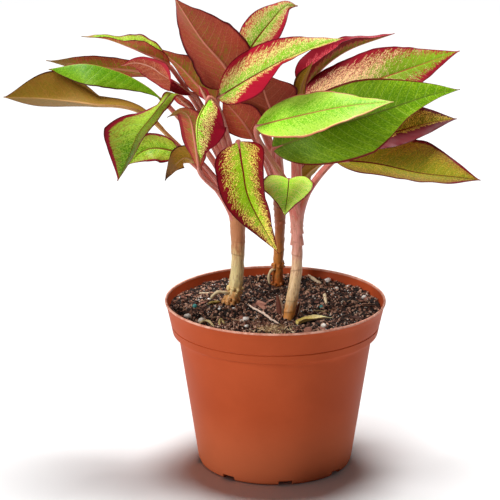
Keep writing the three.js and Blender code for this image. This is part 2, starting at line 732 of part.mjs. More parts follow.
// The upper and lower rows of points of a blade, from its base to its tip.
function bladeRows(leaf) {
  const rib = smoothCurve(leaf.rib);
  const top = [];
  const bottom = [];
  for (let i = 0; i < BLADE.rows; i += 1) {
    const t = i / (BLADE.rows - 1);
    const along = rib.getTangentAt(t);
    const facing = directionAlong(leaf.faces, t);
    const normal = facing.addScaledVector(along, -facing.dot(along)).normalize();
    const across = along.clone().cross(normal);
    const least = THREE.MathUtils.lerp(BLADE.baseHalfWidth, BLADE.tipHalfWidth, t);
    const halfWidth = Math.max((leaf.width / 2) * outline(t, leaf), least);
    const upper = [];
    const lower = [];
    for (let j = -BLADE.cells; j <= BLADE.cells; j += 1) {
      const s = j / BLADE.cells;
      const side = Math.sign(s);
      const half = s > 0 ? leaf.right : leaf.left;
      const { out, up, angle } = section(half, t, Math.abs(s));
      const width = halfWidth * valueAlong(half.reach, t);
      const lift = width * up + edgeWave(leaf.wave, t, s);
      const spot = rib.getPointAt(t);
      spot.addScaledVector(across, side * out * width).addScaledVector(normal, lift);
      const face = j === 0 ? normal.clone() : normal.clone().multiplyScalar(Math.cos(angle))
        .addScaledVector(across, -side * Math.sin(angle));
      const rest = BLADE.thickness / 2 + (j === 0 ? BLADE.ribDepth * (1 - t) : 0);
      upper.push(spot.clone().addScaledVector(face, BLADE.thickness / 2));
      lower.push(spot.clone().addScaledVector(face, -rest));
    }
    top.push(upper);
    bottom.push(lower);
  }
  return { top, bottom };
}

// A closed sheet between two grids of points, split into triangles alike on both faces.
function sheetGeometry({ top, bottom }) {
  const rows = top.length;
  const columns = top[0].length;
  const positions = [];
  for (const grid of [top, bottom]) {
    for (const row of grid) row.forEach((point) => positions.push(...point.toArray()));
  }
  const upper = (i, j) => i * columns + j;
  const lower = (i, j) => (rows + i) * columns + j;
  const faces = [];
  for (let i = 0; i + 1 < rows; i += 1) {
    for (let j = 0; j + 1 < columns; j += 1) {
      faces.push(upper(i, j), upper(i, j + 1), upper(i + 1, j + 1));
      faces.push(upper(i, j), upper(i + 1, j + 1), upper(i + 1, j));
      faces.push(lower(i, j), lower(i + 1, j + 1), lower(i, j + 1));
      faces.push(lower(i, j), lower(i + 1, j), lower(i + 1, j + 1));
    }
    const end = columns - 1;
    faces.push(upper(i, 0), lower(i + 1, 0), lower(i, 0));
    faces.push(upper(i, 0), upper(i + 1, 0), lower(i + 1, 0));
    faces.push(upper(i, end), lower(i, end), lower(i + 1, end));
    faces.push(upper(i, end), lower(i + 1, end), upper(i + 1, end));
  }
  for (let j = 0; j + 1 < columns; j += 1) {
    const end = rows - 1;
    faces.push(upper(0, j), lower(0, j), lower(0, j + 1));
    faces.push(upper(0, j), lower(0, j + 1), upper(0, j + 1));
    faces.push(upper(end, j), lower(end, j + 1), lower(end, j));
    faces.push(upper(end, j), upper(end, j + 1), lower(end, j + 1));
  }
  return indexedGeometry(positions, faces);
}

// ---------------------------------------------------------------- assembly

const group = new THREE.Group();

function addPiece(name, geometry, color, roughness) {
  const material = new THREE.MeshStandardMaterial({ color, roughness, metalness: 0 });
  const mesh = new THREE.Mesh(geometry, material);
  mesh.name = name;
  group.add(mesh);
}

addPiece('pot', potGeometry(), 0xb85a3c, 0.5);
addPiece('soil', pottedSoil(), 0x3a2a20, 0.95);
for (const name of Object.keys(CANES)) {
  addPiece(`stem_${name}`, stemGeometry(name), 0xb98a78, 0.6);
}
for (const leaf of LEAVES) {
  addPiece(leaf.name, sheetGeometry(bladeRows(leaf)), 0x6f9c2c, 0.45);
}

addPiece('dry_bract', sheetGeometry(bladeRows(BRACT)), 0xb58f4a, 0.7);
addPiece('dry_root', rootGeometry(), 0xcfc3ae, 0.8);

export default group;
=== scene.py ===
"""Looks for a potted chinese evergreen: a Blender 4.5 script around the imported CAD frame.

Lengths in the tables are millimetres in the CAD frame, +Z up, with the origin at the centre of
the pot's base and -Y at the front. Meshes are written in metres.
"""

import functools
import json
import math

import bmesh
import bpy
import numpy as np
from mathutils import Matrix, Vector

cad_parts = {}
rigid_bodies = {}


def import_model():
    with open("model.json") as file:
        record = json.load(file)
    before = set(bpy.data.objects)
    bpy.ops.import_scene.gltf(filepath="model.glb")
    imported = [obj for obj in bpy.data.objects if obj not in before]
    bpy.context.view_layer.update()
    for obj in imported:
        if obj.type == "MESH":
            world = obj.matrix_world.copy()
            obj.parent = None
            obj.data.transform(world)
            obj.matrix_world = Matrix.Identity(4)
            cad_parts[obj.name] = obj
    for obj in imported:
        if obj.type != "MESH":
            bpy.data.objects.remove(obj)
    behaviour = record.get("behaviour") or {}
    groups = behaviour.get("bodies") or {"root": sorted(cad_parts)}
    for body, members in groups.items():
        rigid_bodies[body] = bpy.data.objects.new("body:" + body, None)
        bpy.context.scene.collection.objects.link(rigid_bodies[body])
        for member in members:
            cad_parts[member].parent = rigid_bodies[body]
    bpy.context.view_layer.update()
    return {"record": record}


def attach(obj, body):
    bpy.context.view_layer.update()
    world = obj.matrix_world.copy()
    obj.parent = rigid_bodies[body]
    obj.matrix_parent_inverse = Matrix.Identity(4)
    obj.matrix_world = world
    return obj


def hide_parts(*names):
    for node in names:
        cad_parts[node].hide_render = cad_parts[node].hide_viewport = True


MM = 0.001

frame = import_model()

# ------------------------------------------------------------------ driving dimensions

# Where the photograph's camera stood: its frame in pixels, the pixel of a spot on the pot's
# axis and that spot's height, how far away it was and how far above the horizon in degrees,
# and its focal length in pixels. The sensor is a width in millimetres.
PHOTO = {"size": 500, "axis_pixel": (275.5, 300.3), "axis_height": 118, "distance": 1800,
         "elevation": 18.12, "focal": 2564, "sensor": 36}

# painted_light_foot is the height below which the pot is painted paler, as painted light.
POT = {"height": 119.5, "rim_radius": 77.5, "base_radius": 52.7, "band_height": 23,
       "band_taper": 5.2, "wall": 1.5, "floor": 5, "sides": 160, "notches": 8,
       "notch_width": 11, "notch_height": 3.4, "notch_depth": 7, "notch_turn": 8,
       "painted_light_foot": 60}

# The lumps of the soil's surface are layers of size, height and shift to the right and back.
SOIL = {"level": 113, "radius": 75, "rings": 75, "sides": 220, "relief": 1.9,
        "layers": [(4.2, 1, 0, 0), (1.7, 0.45, 31, 0), (15, 0.8, 9, 5)],
        "litter_reach": 3.5, "litter_depth": 0.7, "wall_gap": 0.3, "floor_gap": 0.8}

STEM = {"foot": 74, "sides": 40, "rows": 150, "scar_every": 9.5, "scar_height": 0.28,
        "scar_width": 1.1, "mark_width": 0.35, "lump_height": 0.5, "lump_pitch": 3.5,
        "foot_swell": 0.9, "swell_reach": 5}

PETIOLE = {"sides": 20, "steps": 40, "foot_radius": 3.4, "tip_radius": 1.7, "bend": 14,
           "under_rib": 0.9, "channel": 0.38, "wings": 0.45}

# Blade rows are a row pitch apart, and each half has its cells closest together at the midrib.
BLADE = {"row_pitch": 1.5, "cells": 14, "crowding": 1.4, "thickness": 0.5, "edge": 0.22,
         "rib_depth": 1.5, "rib_width": 1.1, "groove": 0.35, "base_half": 1.7, "tip_half": 0.35,
         "vein_pitch": 7.0, "vein_slant": 0.55, "vein_bow": 0.02, "quilt": 0.22,
         "least_rows": 26, "sway": 1.3, "ripple": 1.0, "groove_width": 0.8, "base_round": 2.2,
         "tip_round": 1.25, "sway_pitch": (13, 11), "ripple_pitch": 5}

# Each cane: the points of its axis, its radii from foot to top, its bare roots, and the stubs of
# roots in rings round it (knobs, and the browner flare at the soil) as level, count and size.
CANES = {
    "left": {"axis": [[-31.8, 8, 108], [-31.4, 8.3, 114], [-28.8, 10, 122], [-27, 12.5, 136],
                      [-26.4, 15, 155], [-27, 16, 180]],
             "radii": [4.8, 4.8, 4.5, 5.1, 6], "knobs": [(121, 6, 1.3), (124.5, 7, 1.5)],
             "roots": [{"path": [[-32, 6, 121], [-36, 5, 122.2], [-40, 5, 122.5],
                                 [-43.2, 5, 120.5], [-45.5, 5, 117.5]], "radius": 1.1}],
             "flare": [(114, 9, 2.0), (117, 8, 1.6)]},
    "middle": {"axis": [[1.4, 53.5, 108], [2, 52.5, 130], [3, 50, 155], [3, 45, 182]],
               "radii": [4, 3.6, 3.6, 4.8], "knobs": [(127, 8, 1.3), (129, 7, 1.1)],
               "roots": [{"path": [[1, 50, 125.5], [-2.4, 49, 125], [-4.4, 48.5, 122],
                                   [-4.6, 48.5, 118], [-3.9, 48.5, 114.5]], "radius": 1.1}],
               "flare": [(114, 6, 1.3)]},
    "right": {"axis": [[9, -25.4, 108], [9.4, -25.2, 114], [11.2, -24.4, 126], [13.7, -22, 140],
                       [14.9, -19, 152], [14.6, -12, 188]],
              "radii": [3.6, 4.1, 3.8, 3.6, 5], "knobs": [], "roots": [], "flare": []},
}


def half(fold, reach=(1,), curl=(0,)):
    """One half of a blade, from base to tip: the angles in degrees at which it leaves the midrib
    (fold) and turns on to its edge (curl), and its share of the half width (reach)."""
    return {"fold": fold, "reach": reach, "curl": curl}


def coloured(top, under, red_left, red_right=None, pale=(0,), light=(1,), dry=(0,), jag=0.03):
    """How a leaf is coloured: the palettes of its upper side and its underside, and from base to
    tip how wide the red margin is on each half (shares of the half width), how much further the
    pale blotches spread (pale), how much lighter or darker it is painted (light), which is partly
    its own lightness and partly painted light and painted shade for how the light falls on it, and
    how dry. jag is how far the margin's teeth reach inwards."""
    return {"top": top, "under": under, "red": (red_left, red_right or red_left),
            "pale": pale, "light": light, "dry": dry, "jag": jag}


def new_leaf(name, stem, start, size, wave, rib, faces, look, left, right=None):
    """One leaf: the cane it grows from and at what share of its length, the blade's width, where
    it is widest and how blunt its base is, its edge's ripple (height, number and where it
    starts), the points of its midrib from base to tip, and the way its upper side faces along
    it. left and right are as seen along the midrib from above."""
    width, widest, taper = size
    return {"name": f"leaf_{name}", "stem": stem, "from": start, "width": width,
            "widest": widest, "taper": taper, "wave": wave, "rib": rib, "faces": faces,
            "look": look, "left": left, "right": right or left}


# The light of each look is partly painted light: it lifts leaves and parts of leaves that lie in
# shade, and darkens some in full light.
LEAVES = [
    new_leaf("left_reaching", "left", 0.8, (42, 0.72, 1.6), (1, 1.5, 0.2),
         [[-65, 20, 222], [-94, 14, 250], [-126, 8, 257], [-158, 4, 262], [-187, 0, 264]],
         [[0, 0.95, 0], [0, 0.95, -0.2]], coloured("green", "olive", [0.05], light=[0.8]),
         half([80, 80, 78, 20, 0]), half([80, 80, 78, 70, 60])),
    new_leaf("left_green", "left", 0.86, (42, 0.68, 1.3), (1, 1.5, 0),
         [[-76, 20, 255], [-88, 14, 268], [-106, 6, 280], [-130, -2, 288], [-155, -6, 285]],
         [[0, -0.5, 0.8], [0, -0.7, 0.7]], coloured("green", "olive", [0.03]),
         half([10, 0, 0], [0.6, 0.7, 0.78, 0.9, 1], [10]), half([-60, -100, -100, -90], [0.8])),
    new_leaf("left_brown", "left", 0.9, (16, 0.55, 0.8), (0.8, 1.5, 0),
         [[-72, 34, 263], [-90, 32, 274], [-118, 26, 279], [-158, 12, 287]],
         [[0, 0.9, 0.3]], coloured("green", "rust", [0.1], light=[1.15], dry=[0, 0, 0, 0.2, 0.9]),
         half([20, 10])),
    new_leaf("left_arching", "left", 0.95, (30, 0.3, 0.6), (0.6, 1.5, 0),
         [[-72, -2, 286], [-78, -6, 292], [-88, -9, 297], [-100, -13, 303], [-115, -17, 309],
          [-131, -20, 311]],
         [[0, -0.1, 1]],
         coloured("meadow", "rust", [0.12, 0.06], [0.12, 0.1], light=[1.3, 1.15],
          dry=[0, 0, 0, 0, 0.1, 0.9]),
         half([80, 70, 65, 50, 20, 0], [0.2, 0.5, 0.7, 0.35, 0.3, 0.5]),
         half([50, 45, 30, 10, 0], [0.2, 0.6, 1, 0.75, 0.8, 1])),
    new_leaf("left_small", "left", 0.92, (28, 0.45, 0.62), (1, 2, 0.3),
         [[-56, -2, 267], [-68, -7, 277], [-77, -10, 283], [-85, -13, 289], [-95, -15, 292],
          [-105, -16, 290]],
         [[0.1, 0.8, 0.5]], coloured("wine", "rose", [0.5, 0.3], [0.1]),
         half([-120, -130, -125, -40, 0, 0, 0, 0], [0.5, 0.6, 0.8, 0.8, 0.8]), half([10, 5, 0])),
    new_leaf("left_drooping", "left", 0.88, (46, 0.67, 1), (0.8, 1.5, 0),
         [[-54, 2, 253], [-62, -6, 262], [-70, -16, 271], [-77, -26, 266], [-84, -32, 258],
          [-93, -36, 247], [-99, -38, 233], [-107, -38, 215]],
         [[0.3, 0.9, 0.2], [0.3, 0.9, 0.3], [0.2, 0.5, 0.8], [-0.3, -0.6, 0.7], [-0.2, -0.9, 0.4],
          [0, -0.95, 0.3], [0, -0.95, 0.2], [0, -0.95, 0.2]],
         coloured("meadow", "rose", [0.3, 0.3, 0.2, 0.15, 0.15, 0.4],
          [0.3, 0.3, 0.24, 0.2, 0.2, 0.5], pale=[0, 0, 0.1, 0.12, 0, -0.06],
          light=[1, 1, 1, 1, 0.75, 0.75], jag=0.08),
         half([0, 0, -30, -75, -75, -72, -70, -60], [0.5, 0.4, 0.25, 0.25, 0.4, 0.5, 0.5, 0.5]),
         half([0], [0.6, 0.6, 0.3, 0.14, 0.46, 1, 1, 1])),
    new_leaf("left_shoot", "left", 0.96, (8, 0.5, 0.62), (0.3, 1.5, 0),
         [[-46, -20, 266], [-49, -21, 272], [-52, -22, 278]],
         [[0.3, 0.9, 0.2]], coloured("wine", "rose", [0.5]), half([20])),
    new_leaf("left_speckled", "left", 0.7, (24, 0.5, 0.62), (0.8, 2, 0),
         [[-67, 8, 223], [-83, 4, 227], [-93, 0, 225], [-102, -3, 217]],
         [[0, -0.7, 0.7]],
         coloured("meadow", "rust", [0.2, 0.14], [0.14, 0.2], pale=[0.03], light=[1.1], jag=0.08),
         half([10, 20], curl=[20])),
    new_leaf("left_curled", "left", 0.75, (22, 0.35, 0.62), (1, 2, 0),
         [[-51, 2, 217], [-57, -4, 221], [-63, -8, 224], [-69, -11, 220], [-73, -13, 215],
          [-76, -15, 209]],
         [[0.2, 0.8, 0.5], [0.1, 0.85, 0.5], [-0.2, 0.8, 0.5], [-0.7, 0.5, 0.2]],
         coloured("speckled", "olive", [0.1], [0.15], light=[1.5, 1.5, 1],
          dry=[0, 0, 0, 0.3, 0.8, 1]), half([10, 0])),
    new_leaf("front_inner", "left", 1, (40, 0.42, 0.62), (1, 1.5, 0),
         [[-45, -38, 273], [-52, -47, 260], [-52, -51, 242], [-50, -51, 232]],
         [[0.2, -0.9, 0.3], [0.25, -0.95, 0.1]],
         coloured("lemon", "rust", [0.15, 0.45, 0.55, 0.5, 0.4], [0.06], pale=[-0.03], light=[1.6],
          jag=0.3), half([10, 0, 5], [1, 1, 1.05, 1.2, 1.2], [10]), half([-95], [0.4])),
    new_leaf("front_dry_tip", "left", 0.82, (20, 0.6, 0.9), (1.2, 2, 0),
         [[-52, -22, 218], [-55, -26, 241], [-58, -30, 257], [-64, -34, 263], [-73, -40, 260]],
         [[0.3, 0.9, 0.3], [0.3, 0.9, 0.3], [0.1, 0.6, 0.8]],
         coloured("meadow", "rust", [0.2], [0.3], light=[0.95], dry=[0, 0, 0, 0, 0.3, 1]),
         half([10, 0])),
    new_leaf("top_tall", "middle", 0.98, (50, 0.42, 0.62), (1.5, 1.5, 0),
         [[-26, 8, 270], [-37, 0, 289], [-51, -10, 308], [-68, -26, 339]],
         [[0.1, 0.9, 0.4]],
         coloured("speckled", "rust", [0.08], [0.1], pale=[-0.05], light=[1.05, 0.9, 0.72]),
         half([8, 0]), half([0, 10, 25, 40, 40, 40], [2, 1.2, 0.95, 0.95, 1, 1, 1])),
    new_leaf("top_broad", "left", 0.94, (42, 0.3, 0.62), (0.8, 1.5, 0.3),
         [[-43, 30, 254], [-54, 28, 266], [-66, 25, 280], [-82, 22, 294]],
         [[0.1, 0.9, 0.4]], coloured("meadow", "rust", [0.1, 0.14], [0.1], light=[1.1]),
         half([10, 5], [1, 0.85, 0.8], [10]), half([10], [0.35])),
    new_leaf("top_back", "middle", 0.94, (31, 0.36, 0.62), (1, 2, 0),
         [[-20, 30, 288], [-14, 33, 297], [-4, 38, 309], [6, 42, 319], [15, 44, 319]],
         [[-0.4, -0.8, 0.5]],
         coloured("lemon", "rust", [0.1, 0.12, 0.1, 0.2], [0.2, 0.25, 0.3, 0.4], pale=[0.02],
          light=[0.66], jag=0.15), half([12, 0]), half([20, 0])),
    new_leaf("centre_upper", "left", 0.97, (42, 0.38, 0.62), (1.5, 1.5, 0.1),
         [[-39, -16, 268], [-24, -22, 279], [-10, -25, 288], [5, -28, 297], [20, -29, 304],
          [33, -29, 309], [46, -29, 312]],
         [[-0.3, -0.6, 0.75]],
         coloured("lemon", "rust", [0.2, 0.3, 0.3, 0.26, 0.06, 0.05, 0.1],
          [0.08, 0.12, 0.8, 0.72, 0.5, 0.06, 0.05, 0.1], light=[0.85], jag=0.34),
         half([10, 5], [1.35, 1.2, 1, 0.95, 0.9], [10]),
         half([5, 5, 10, 20, 35, 40, 35, 30],
          [1, 1, 1, 1, 0.95, 0.7, 0.25, 0.75, 0.9, 1.05, 1.2, 1.2], [0, 10])),
    new_leaf("right_edge_on", "right", 0.98, (24, 0.42, 0.62), (1, 2, 0),
         [[20, 34, 261], [31, 40, 275], [51, 46, 288], [83, 52, 298]],
         [[0, 0.1, 1]], coloured("wine", "rust", [0.4], pale=[0.05], light=[1.25], jag=0.3),
         half([55, 50], [2, 1.5, 1, 0.9, 0.8]), half([55, 50], [1, 0.9, 0.8, 0.6, 0.5])),
    new_leaf("right_pink", "right", 0.95, (44, 0.5, 0.62), (1, 2, 0),
         [[17, 20, 252], [41, 24, 261], [72, 24, 272], [103, 20, 284], [126, 14, 294]],
         [[-0.2, -0.7, 0.7]],
         coloured("blush", "rust", [0.2, 0.26, 0.26, 0.14, 0.1, 0.3],
          [0.15, 0.12, 0.15, 0.22, 0.34, 0.6], pale=[0.12, 0.12, 0, -0.12, -0.14],
          light=[1.2, 1.15, 1, 1.05], jag=0.34), half([8, 5], [1.3, 1.15, 1, 1], [5]),
         half([8, 5], curl=[5])),
    new_leaf("right_large", "right", 0.85, (52, 0.45, 0.62), (1.2, 2, 0),
         [[-2, -4, 229], [30, -14, 244], [68, -18, 258], [105, -16, 270], [125, -12, 273]],
         [[0, -0.9, 0.4], [0.1, -0.85, 0.5]],
         coloured("deep", "rust", [0.02], light=[0.88, 1.05, 1.2, 1.4, 1.8]),
         half([20, 25, 20], curl=[10]),
         half([5, 0, 5], [1, 1, 1, 1, 1, 1, 0.85, 0.6, 0.5, 0.5, 0.6], [5])),
    new_leaf("right_lime", "right", 0.9, (40, 0.42, 0.62), (1, 2, 0),
         [[-13, -40, 254], [16, -50, 264], [47, -56, 272], [78, -56, 275]],
         [[0, -0.5, 0.85]],
         coloured("lime", "olive", [0.03, 0.03, 0.05, 0.2], [0.06, 0.08, 0.12, 0.3],
          light=[1.0, 0.78, 0.98], jag=0.05),
         half([5, 5], [1.35, 1.2, 0.95, 0.82, 0.82, 0.9], [5]), half([5, 5], curl=[10])),
    new_leaf("right_dark", "right", 0.88, (38, 0.5, 0.62), (1, 2, 0),
         [[51, 4, 228], [86, 8, 239], [106, 10, 244], [125, 10, 247]],
         [[0, -0.7, 0.7]],
         coloured("moss", "rust", [0.2, 0.25, 0.2, 0.4], [0.6, 0.75, 0.8, 0.8],
          light=[2.1, 1.9, 1.6], jag=0.3), half([8, 5], curl=[5]), half([25, 20], [0.78])),
    new_leaf("right_low", "right", 0.8, (46, 0.55, 0.62), (1.6, 2.6, 0.5),
         [[41, 8, 218], [69, 2, 217], [99, -4, 212], [127, -8, 210], [141, -8, 208]],
         [[0, -0.8, 0.6], [0, -0.85, 0.5]],
         coloured("moss_plain", "olive", [0.1, 0.1, 0.1, 0.1, 0.4], [0.12, 0.12, 0.12, 0.16, 0.6],
          light=[1.8, 1.7, 1.3]), half([5, 5, 0], curl=[5]),
         half([-78, -78, -78, -60], [1, 0.8, 0.5, 0.6, 0.7])),
    new_leaf("front_hanging", "left", 0.93, (38, 0.34, 0.62), (1.2, 1.5, 0.2),
         [[-25, -40, 243], [-22, -51, 227], [-17, -57, 206], [2, -54, 169]],
         [[0, -0.8, 0.6], [0.1, -0.95, 0.3]],
         coloured("speckled", "rust", [0.22, 0.3, 0.26, 0.16, 0.2], [0.24, 0.3, 0.26, 0.2, 0.24],
          pale=[-0.02, -0.06, -0.08, 0.02, 0.06], light=[1.1, 1.3, 1.6, 1.75], jag=0.34),
         half([20, 50, 50, 30, 10], [1.5, 1.1, 0.8, 0.68, 0.85]),
         half([5, 5], [1.4, 1, 0.9, 0.8, 0.9], [10])),
    new_leaf("front_heart", "right", 0.8, (40, 0.5, 0.45), (1, 1.5, 0.2),
         [[9, -26, 213], [8, -44, 208], [6, -60, 197]],
         [[0, -0.4, 0.9]], coloured("spring", "olive", [0.08, 0.08, 0.08, 0.3], light=[1.85]),
         half([50, 30], [1, 1, 1, 1, 0.92, 0.74, 0.54, 0.5, 0.5], [50])),
    new_leaf("centre_under", "middle", 0.84, (30, 0.4, 0.62), (1, 1.5, 0.2),
         [[-15, 12, 232], [-24, 8, 247], [-37, 2, 263]],
         [[0.2, 0.9, 0.4]], coloured("meadow", "rust", [0.1], pale=[-0.06], light=[1.1]),
         half([5], curl=[5])),
    new_leaf("centre_brown", "middle", 0.9, (42, 0.5, 0.62), (1, 1.5, 0.2),
         [[-1, 8, 249], [-7, 2, 265], [-11, -5, 284]],
         [[0.2, 0.9, 0.4]], coloured("meadow", "rust", [0.08], pale=[-0.14], light=[0.75]),
         half([5], [1, 1.2], [5]), half([5], curl=[5])),
    new_leaf("centre_strip", "right", 0.97, (13, 0.45, 0.62), (0.6, 1.5, 0.2),
         [[17, 6, 257], [18, 8, 271], [25, 10, 287]],
         [[-0.3, 0.9, 0.3]], coloured("moss", "olive", [0.25], light=[1.3]), half([40])),
    new_leaf("right_small", "right", 0.7, (14, 0.45, 0.62), (0.4, 1.5, 0.2),
         [[16, 18, 196], [24, 26, 205], [36, 36, 210]],
         [[0, 0.9, 0.4]], coloured("green", "olive", [0.08]), half([10])),
    new_leaf("back_right", "middle", 0.86, (42, 0.45, 0.62), (1.2, 2, 0.1),
         [[8, 60, 232], [32, 74, 238], [62, 86, 241], [90, 92, 236]],
         [[0.1, 0.5, 0.85]],
         coloured("speckled", "rust", [0.25, 0.35, 0.25, 0.4], [0.2, 0.25, 0.2, 0.4], jag=0.3),
         half([10, 5], curl=[10])),
    new_leaf("back_left", "middle", 0.78, (30, 0.42, 0.62), (1.2, 2, 0.4),
         [[-16, 62, 221], [-22, 80, 230], [-28, 94, 238], [-33, 106, 244]],
         [[-0.2, 0.4, 0.9]],
         coloured("lemon", "rust", [0.2, 0.3, 0.25, 0.4], [0.2, 0.4, 0.3, 0.4], jag=0.3),
         half([10, 5], curl=[10])),
    new_leaf("back_top", "middle", 1, (28, 0.42, 0.62), (1, 2, 0.7),
         [[2, 58, 237], [3, 74, 242], [6, 88, 243], [10, 102, 240]],
         [[0, 0.4, 0.9]], coloured("meadow", "rust", [0.12], [0.15], jag=0.1),
         half([12, 5], curl=[10])),
    new_leaf("back_low", "middle", 0.7, (34, 0.42, 0.62), (1, 2, 0.2),
         [[26, 66, 208], [46, 78, 216], [64, 88, 214], [80, 96, 204]],
         [[0.2, 0.4, 0.9]], coloured("deep", "rust", [0.06]), half([10, 5], curl=[10])),
]

# What lies loose on the soil: a dry bract, shaped as a blade is, and a bare white root.
BRACT = {"rib": [[15, -38, 114.7], [21.5, -31.8, 114.3], [29.5, -26.8, 113.9],
                 [39.5, -24.2, 113.4]],
         "faces": [[0, 0, 1]], "width": 5.4, "widest": 0.5, "taper": 0.6, "wave": (0.3, 1.5, 0),
         "left": half([35], curl=[-20]), "right": half([20], curl=[-30]),
         "look": coloured(None, None, [0])}
ROOT = {"path": [[-18.6, 2.4, 113.5], [-13.7, -6.6, 113.5], [-8, -16.5, 113.7],
                 [-3, -27.5, 113.5], [2.4, -37.2, 113.5]],
        "radii": [0.5, 0.8, 0.8, 0.8, 0.5], "rows": 60, "sides": 12}


def new_thread(path, radius, tint):
    """A bit of root or stick: its line, its radius and its tint."""
    return {"path": path, "radius": radius, "tint": tint}


# Other things on the soil: fertiliser grains and white lumps as x, y and radius, the torn dead
# sheaths beside the right cane, and bits of root and stick as lines of x, y and the height
# above the soil, from green and yellow (tint 0) to pale (tint 1).
LITTER = {
    "fibres": 60,
    "prills": [(-56.5, -2, 1.7), (32.3, -3.2, 1.5), (66.5, 38, 1.3)],
    "lumps": [(-60.7, -25.3, 2.3), (-50.8, -31.8, 2.3), (-23, -34, 1.7), (-20, -31, 2.1),
              (-19.6, -43.7, 1.4), (-29, -6.6, 1.5), (-38.8, -8.8, 1.1), (38, 60, 2.2),
              (44, 41.4, 1.5), (42.3, 22.8, 1.1), (62.8, 19.4, 1.7), (33.3, -43.7, 1.7),
              (-52.9, 20.5, 1.1), (52.2, 48.4, 1.2), (-47, 16, 1.2)],
    "sheaths": [
        {"line": [[3.5, -20, 112], [3, -19, 119], [1.8, -17.5, 127]], "half_width": 2.8},
        {"line": [[14, -21, 112], [15.5, -19.5, 117], [17, -18.5, 122]], "half_width": 1.8},
    ],
    "roots": [
        new_thread([[-47.5, 3.5, 0.8], [-44, 5.8, 1.4], [-39.2, 9.2, 0.8]], 1.1, 0.1),
        new_thread([[-52.6, -39.4, 0.6], [-48.6, -35.1, 1.6], [-45.1, -37.2, 1.6],
                [-42.2, -45.8, 0.6]], 0.9, 0.6),
        new_thread([[-37, -46, 0.4], [-38.4, -40, 1.6], [-37.6, -33, 2.4], [-36, -37, 1.4],
                [-34.6, -45, 0.4]], 0.85, 0.35),
        new_thread([[23.7, 71, 1.2], [27.9, 62, 1.0], [34.2, 47.2, 0.6]], 1.2, 0.8),
        new_thread([[34.9, 25, 2.2], [35.3, 15, 1.6], [35.9, 4.6, 0.8]], 1.1, 0.7),
        new_thread([[25.5, -11, 0.8], [31, -12, 1.4], [38, -13.2, 0.8]], 0.4, 0.4),
        new_thread([[-54.5, 26.3, 1.6], [-46.7, 26.3, 1.8]], 0.5, 0.9),
    ],
}

# The matter scattered over the bed of potting mix, in lumps between two sizes. form is each
# lump's three proportions, lift how far it stands out, roughness how uneven it is, and large
# how much bigger a few of them are. A kind with a centre is spread round it, and one that is
# lying has its lumps near flat.
GRAINS = {
    "soil_crumbs": {"count": 5200, "size": (0.45, 1.05), "form": (1, 0.85, 0.75), "lift": 0.4,
                    "roughness": 0.6, "gloss": 0.92, "large": 0.6,
                    "colours": ("#1a100c", "#341e16", "#573428", "#8c604c", "#c49a82")},
    "soil_bark": {"count": 46, "size": (1.5, 2.8), "form": (1.5, 0.7, 0.3), "lift": 0.8,
                  "roughness": 0.45, "gloss": 0.8, "large": 0.8, "lying": 1,
                  "colours": ("#4a2a20", "#6e4436", "#8f5a48", "#a87460")},
    "soil_perlite": {"count": 900, "size": (0.22, 0.52), "form": (1, 0.9, 0.8), "lift": 0.9,
                     "roughness": 0.35, "gloss": 0.85, "large": 0.6,
                     "colours": ("#b9a392", "#e4d8ca", "#f8f4ee")},
    "front_chips": {"count": 420, "size": (0.5, 1.1), "form": (1.4, 0.8, 0.4), "lift": 0.9,
                    "roughness": 0.5, "gloss": 0.85, "centre": (-14, -42), "spread": (17, 9),
                    "colours": ("#5e3428", "#8e5a48", "#bd8c74", "#ecc8b2")},
    "tan_fibre": {"count": 520, "size": (0.4, 0.95), "form": (1.5, 0.5, 0.5), "lift": 1.3,
                  "roughness": 0.4, "gloss": 0.9, "centre": (-1.5, -51), "spread": (6.0, 4.5),
                  "colours": ("#b48e62", "#dcbc8c", "#f4dcb2")},
}

# The studio: the strength of the even fill, half the floor's width in metres, and the lamps,
# whose places and sizes are metres and whose power is watts.
STUDIO = {
    "fill": 0.08,
    "floor_reach": 4.0,
    "lamps": {
        "ceiling": {"at": (0, 0.6, 3.5), "aim": (0, 0.6, 0), "size": 1.4, "power": 165,
                    "colour": (1, 1, 1)},
        "key": {"at": (-1.9, -1.25, 1.1), "aim": (0, 0, 0.15), "size": 0.9, "power": 37,
                "colour": (1, 0.99, 0.97)},
    },
}


def palette(body, blotch, vein, margin, rim, rib, share, soft, spread, fleck):
    """The colours of one side of a leaf. blotch covers a share of body, with borders as soft as
    given, and spreads towards the red margin, which throws flecks of its colour over what lies
    inside. rim is the blade's very edge and rib its midrib."""
    return {"body": body, "blotch": blotch, "vein": vein, "margin": margin, "rim": rim,
            "rib": rib, "share": share, "soft": soft, "spread": spread, "fleck": fleck}


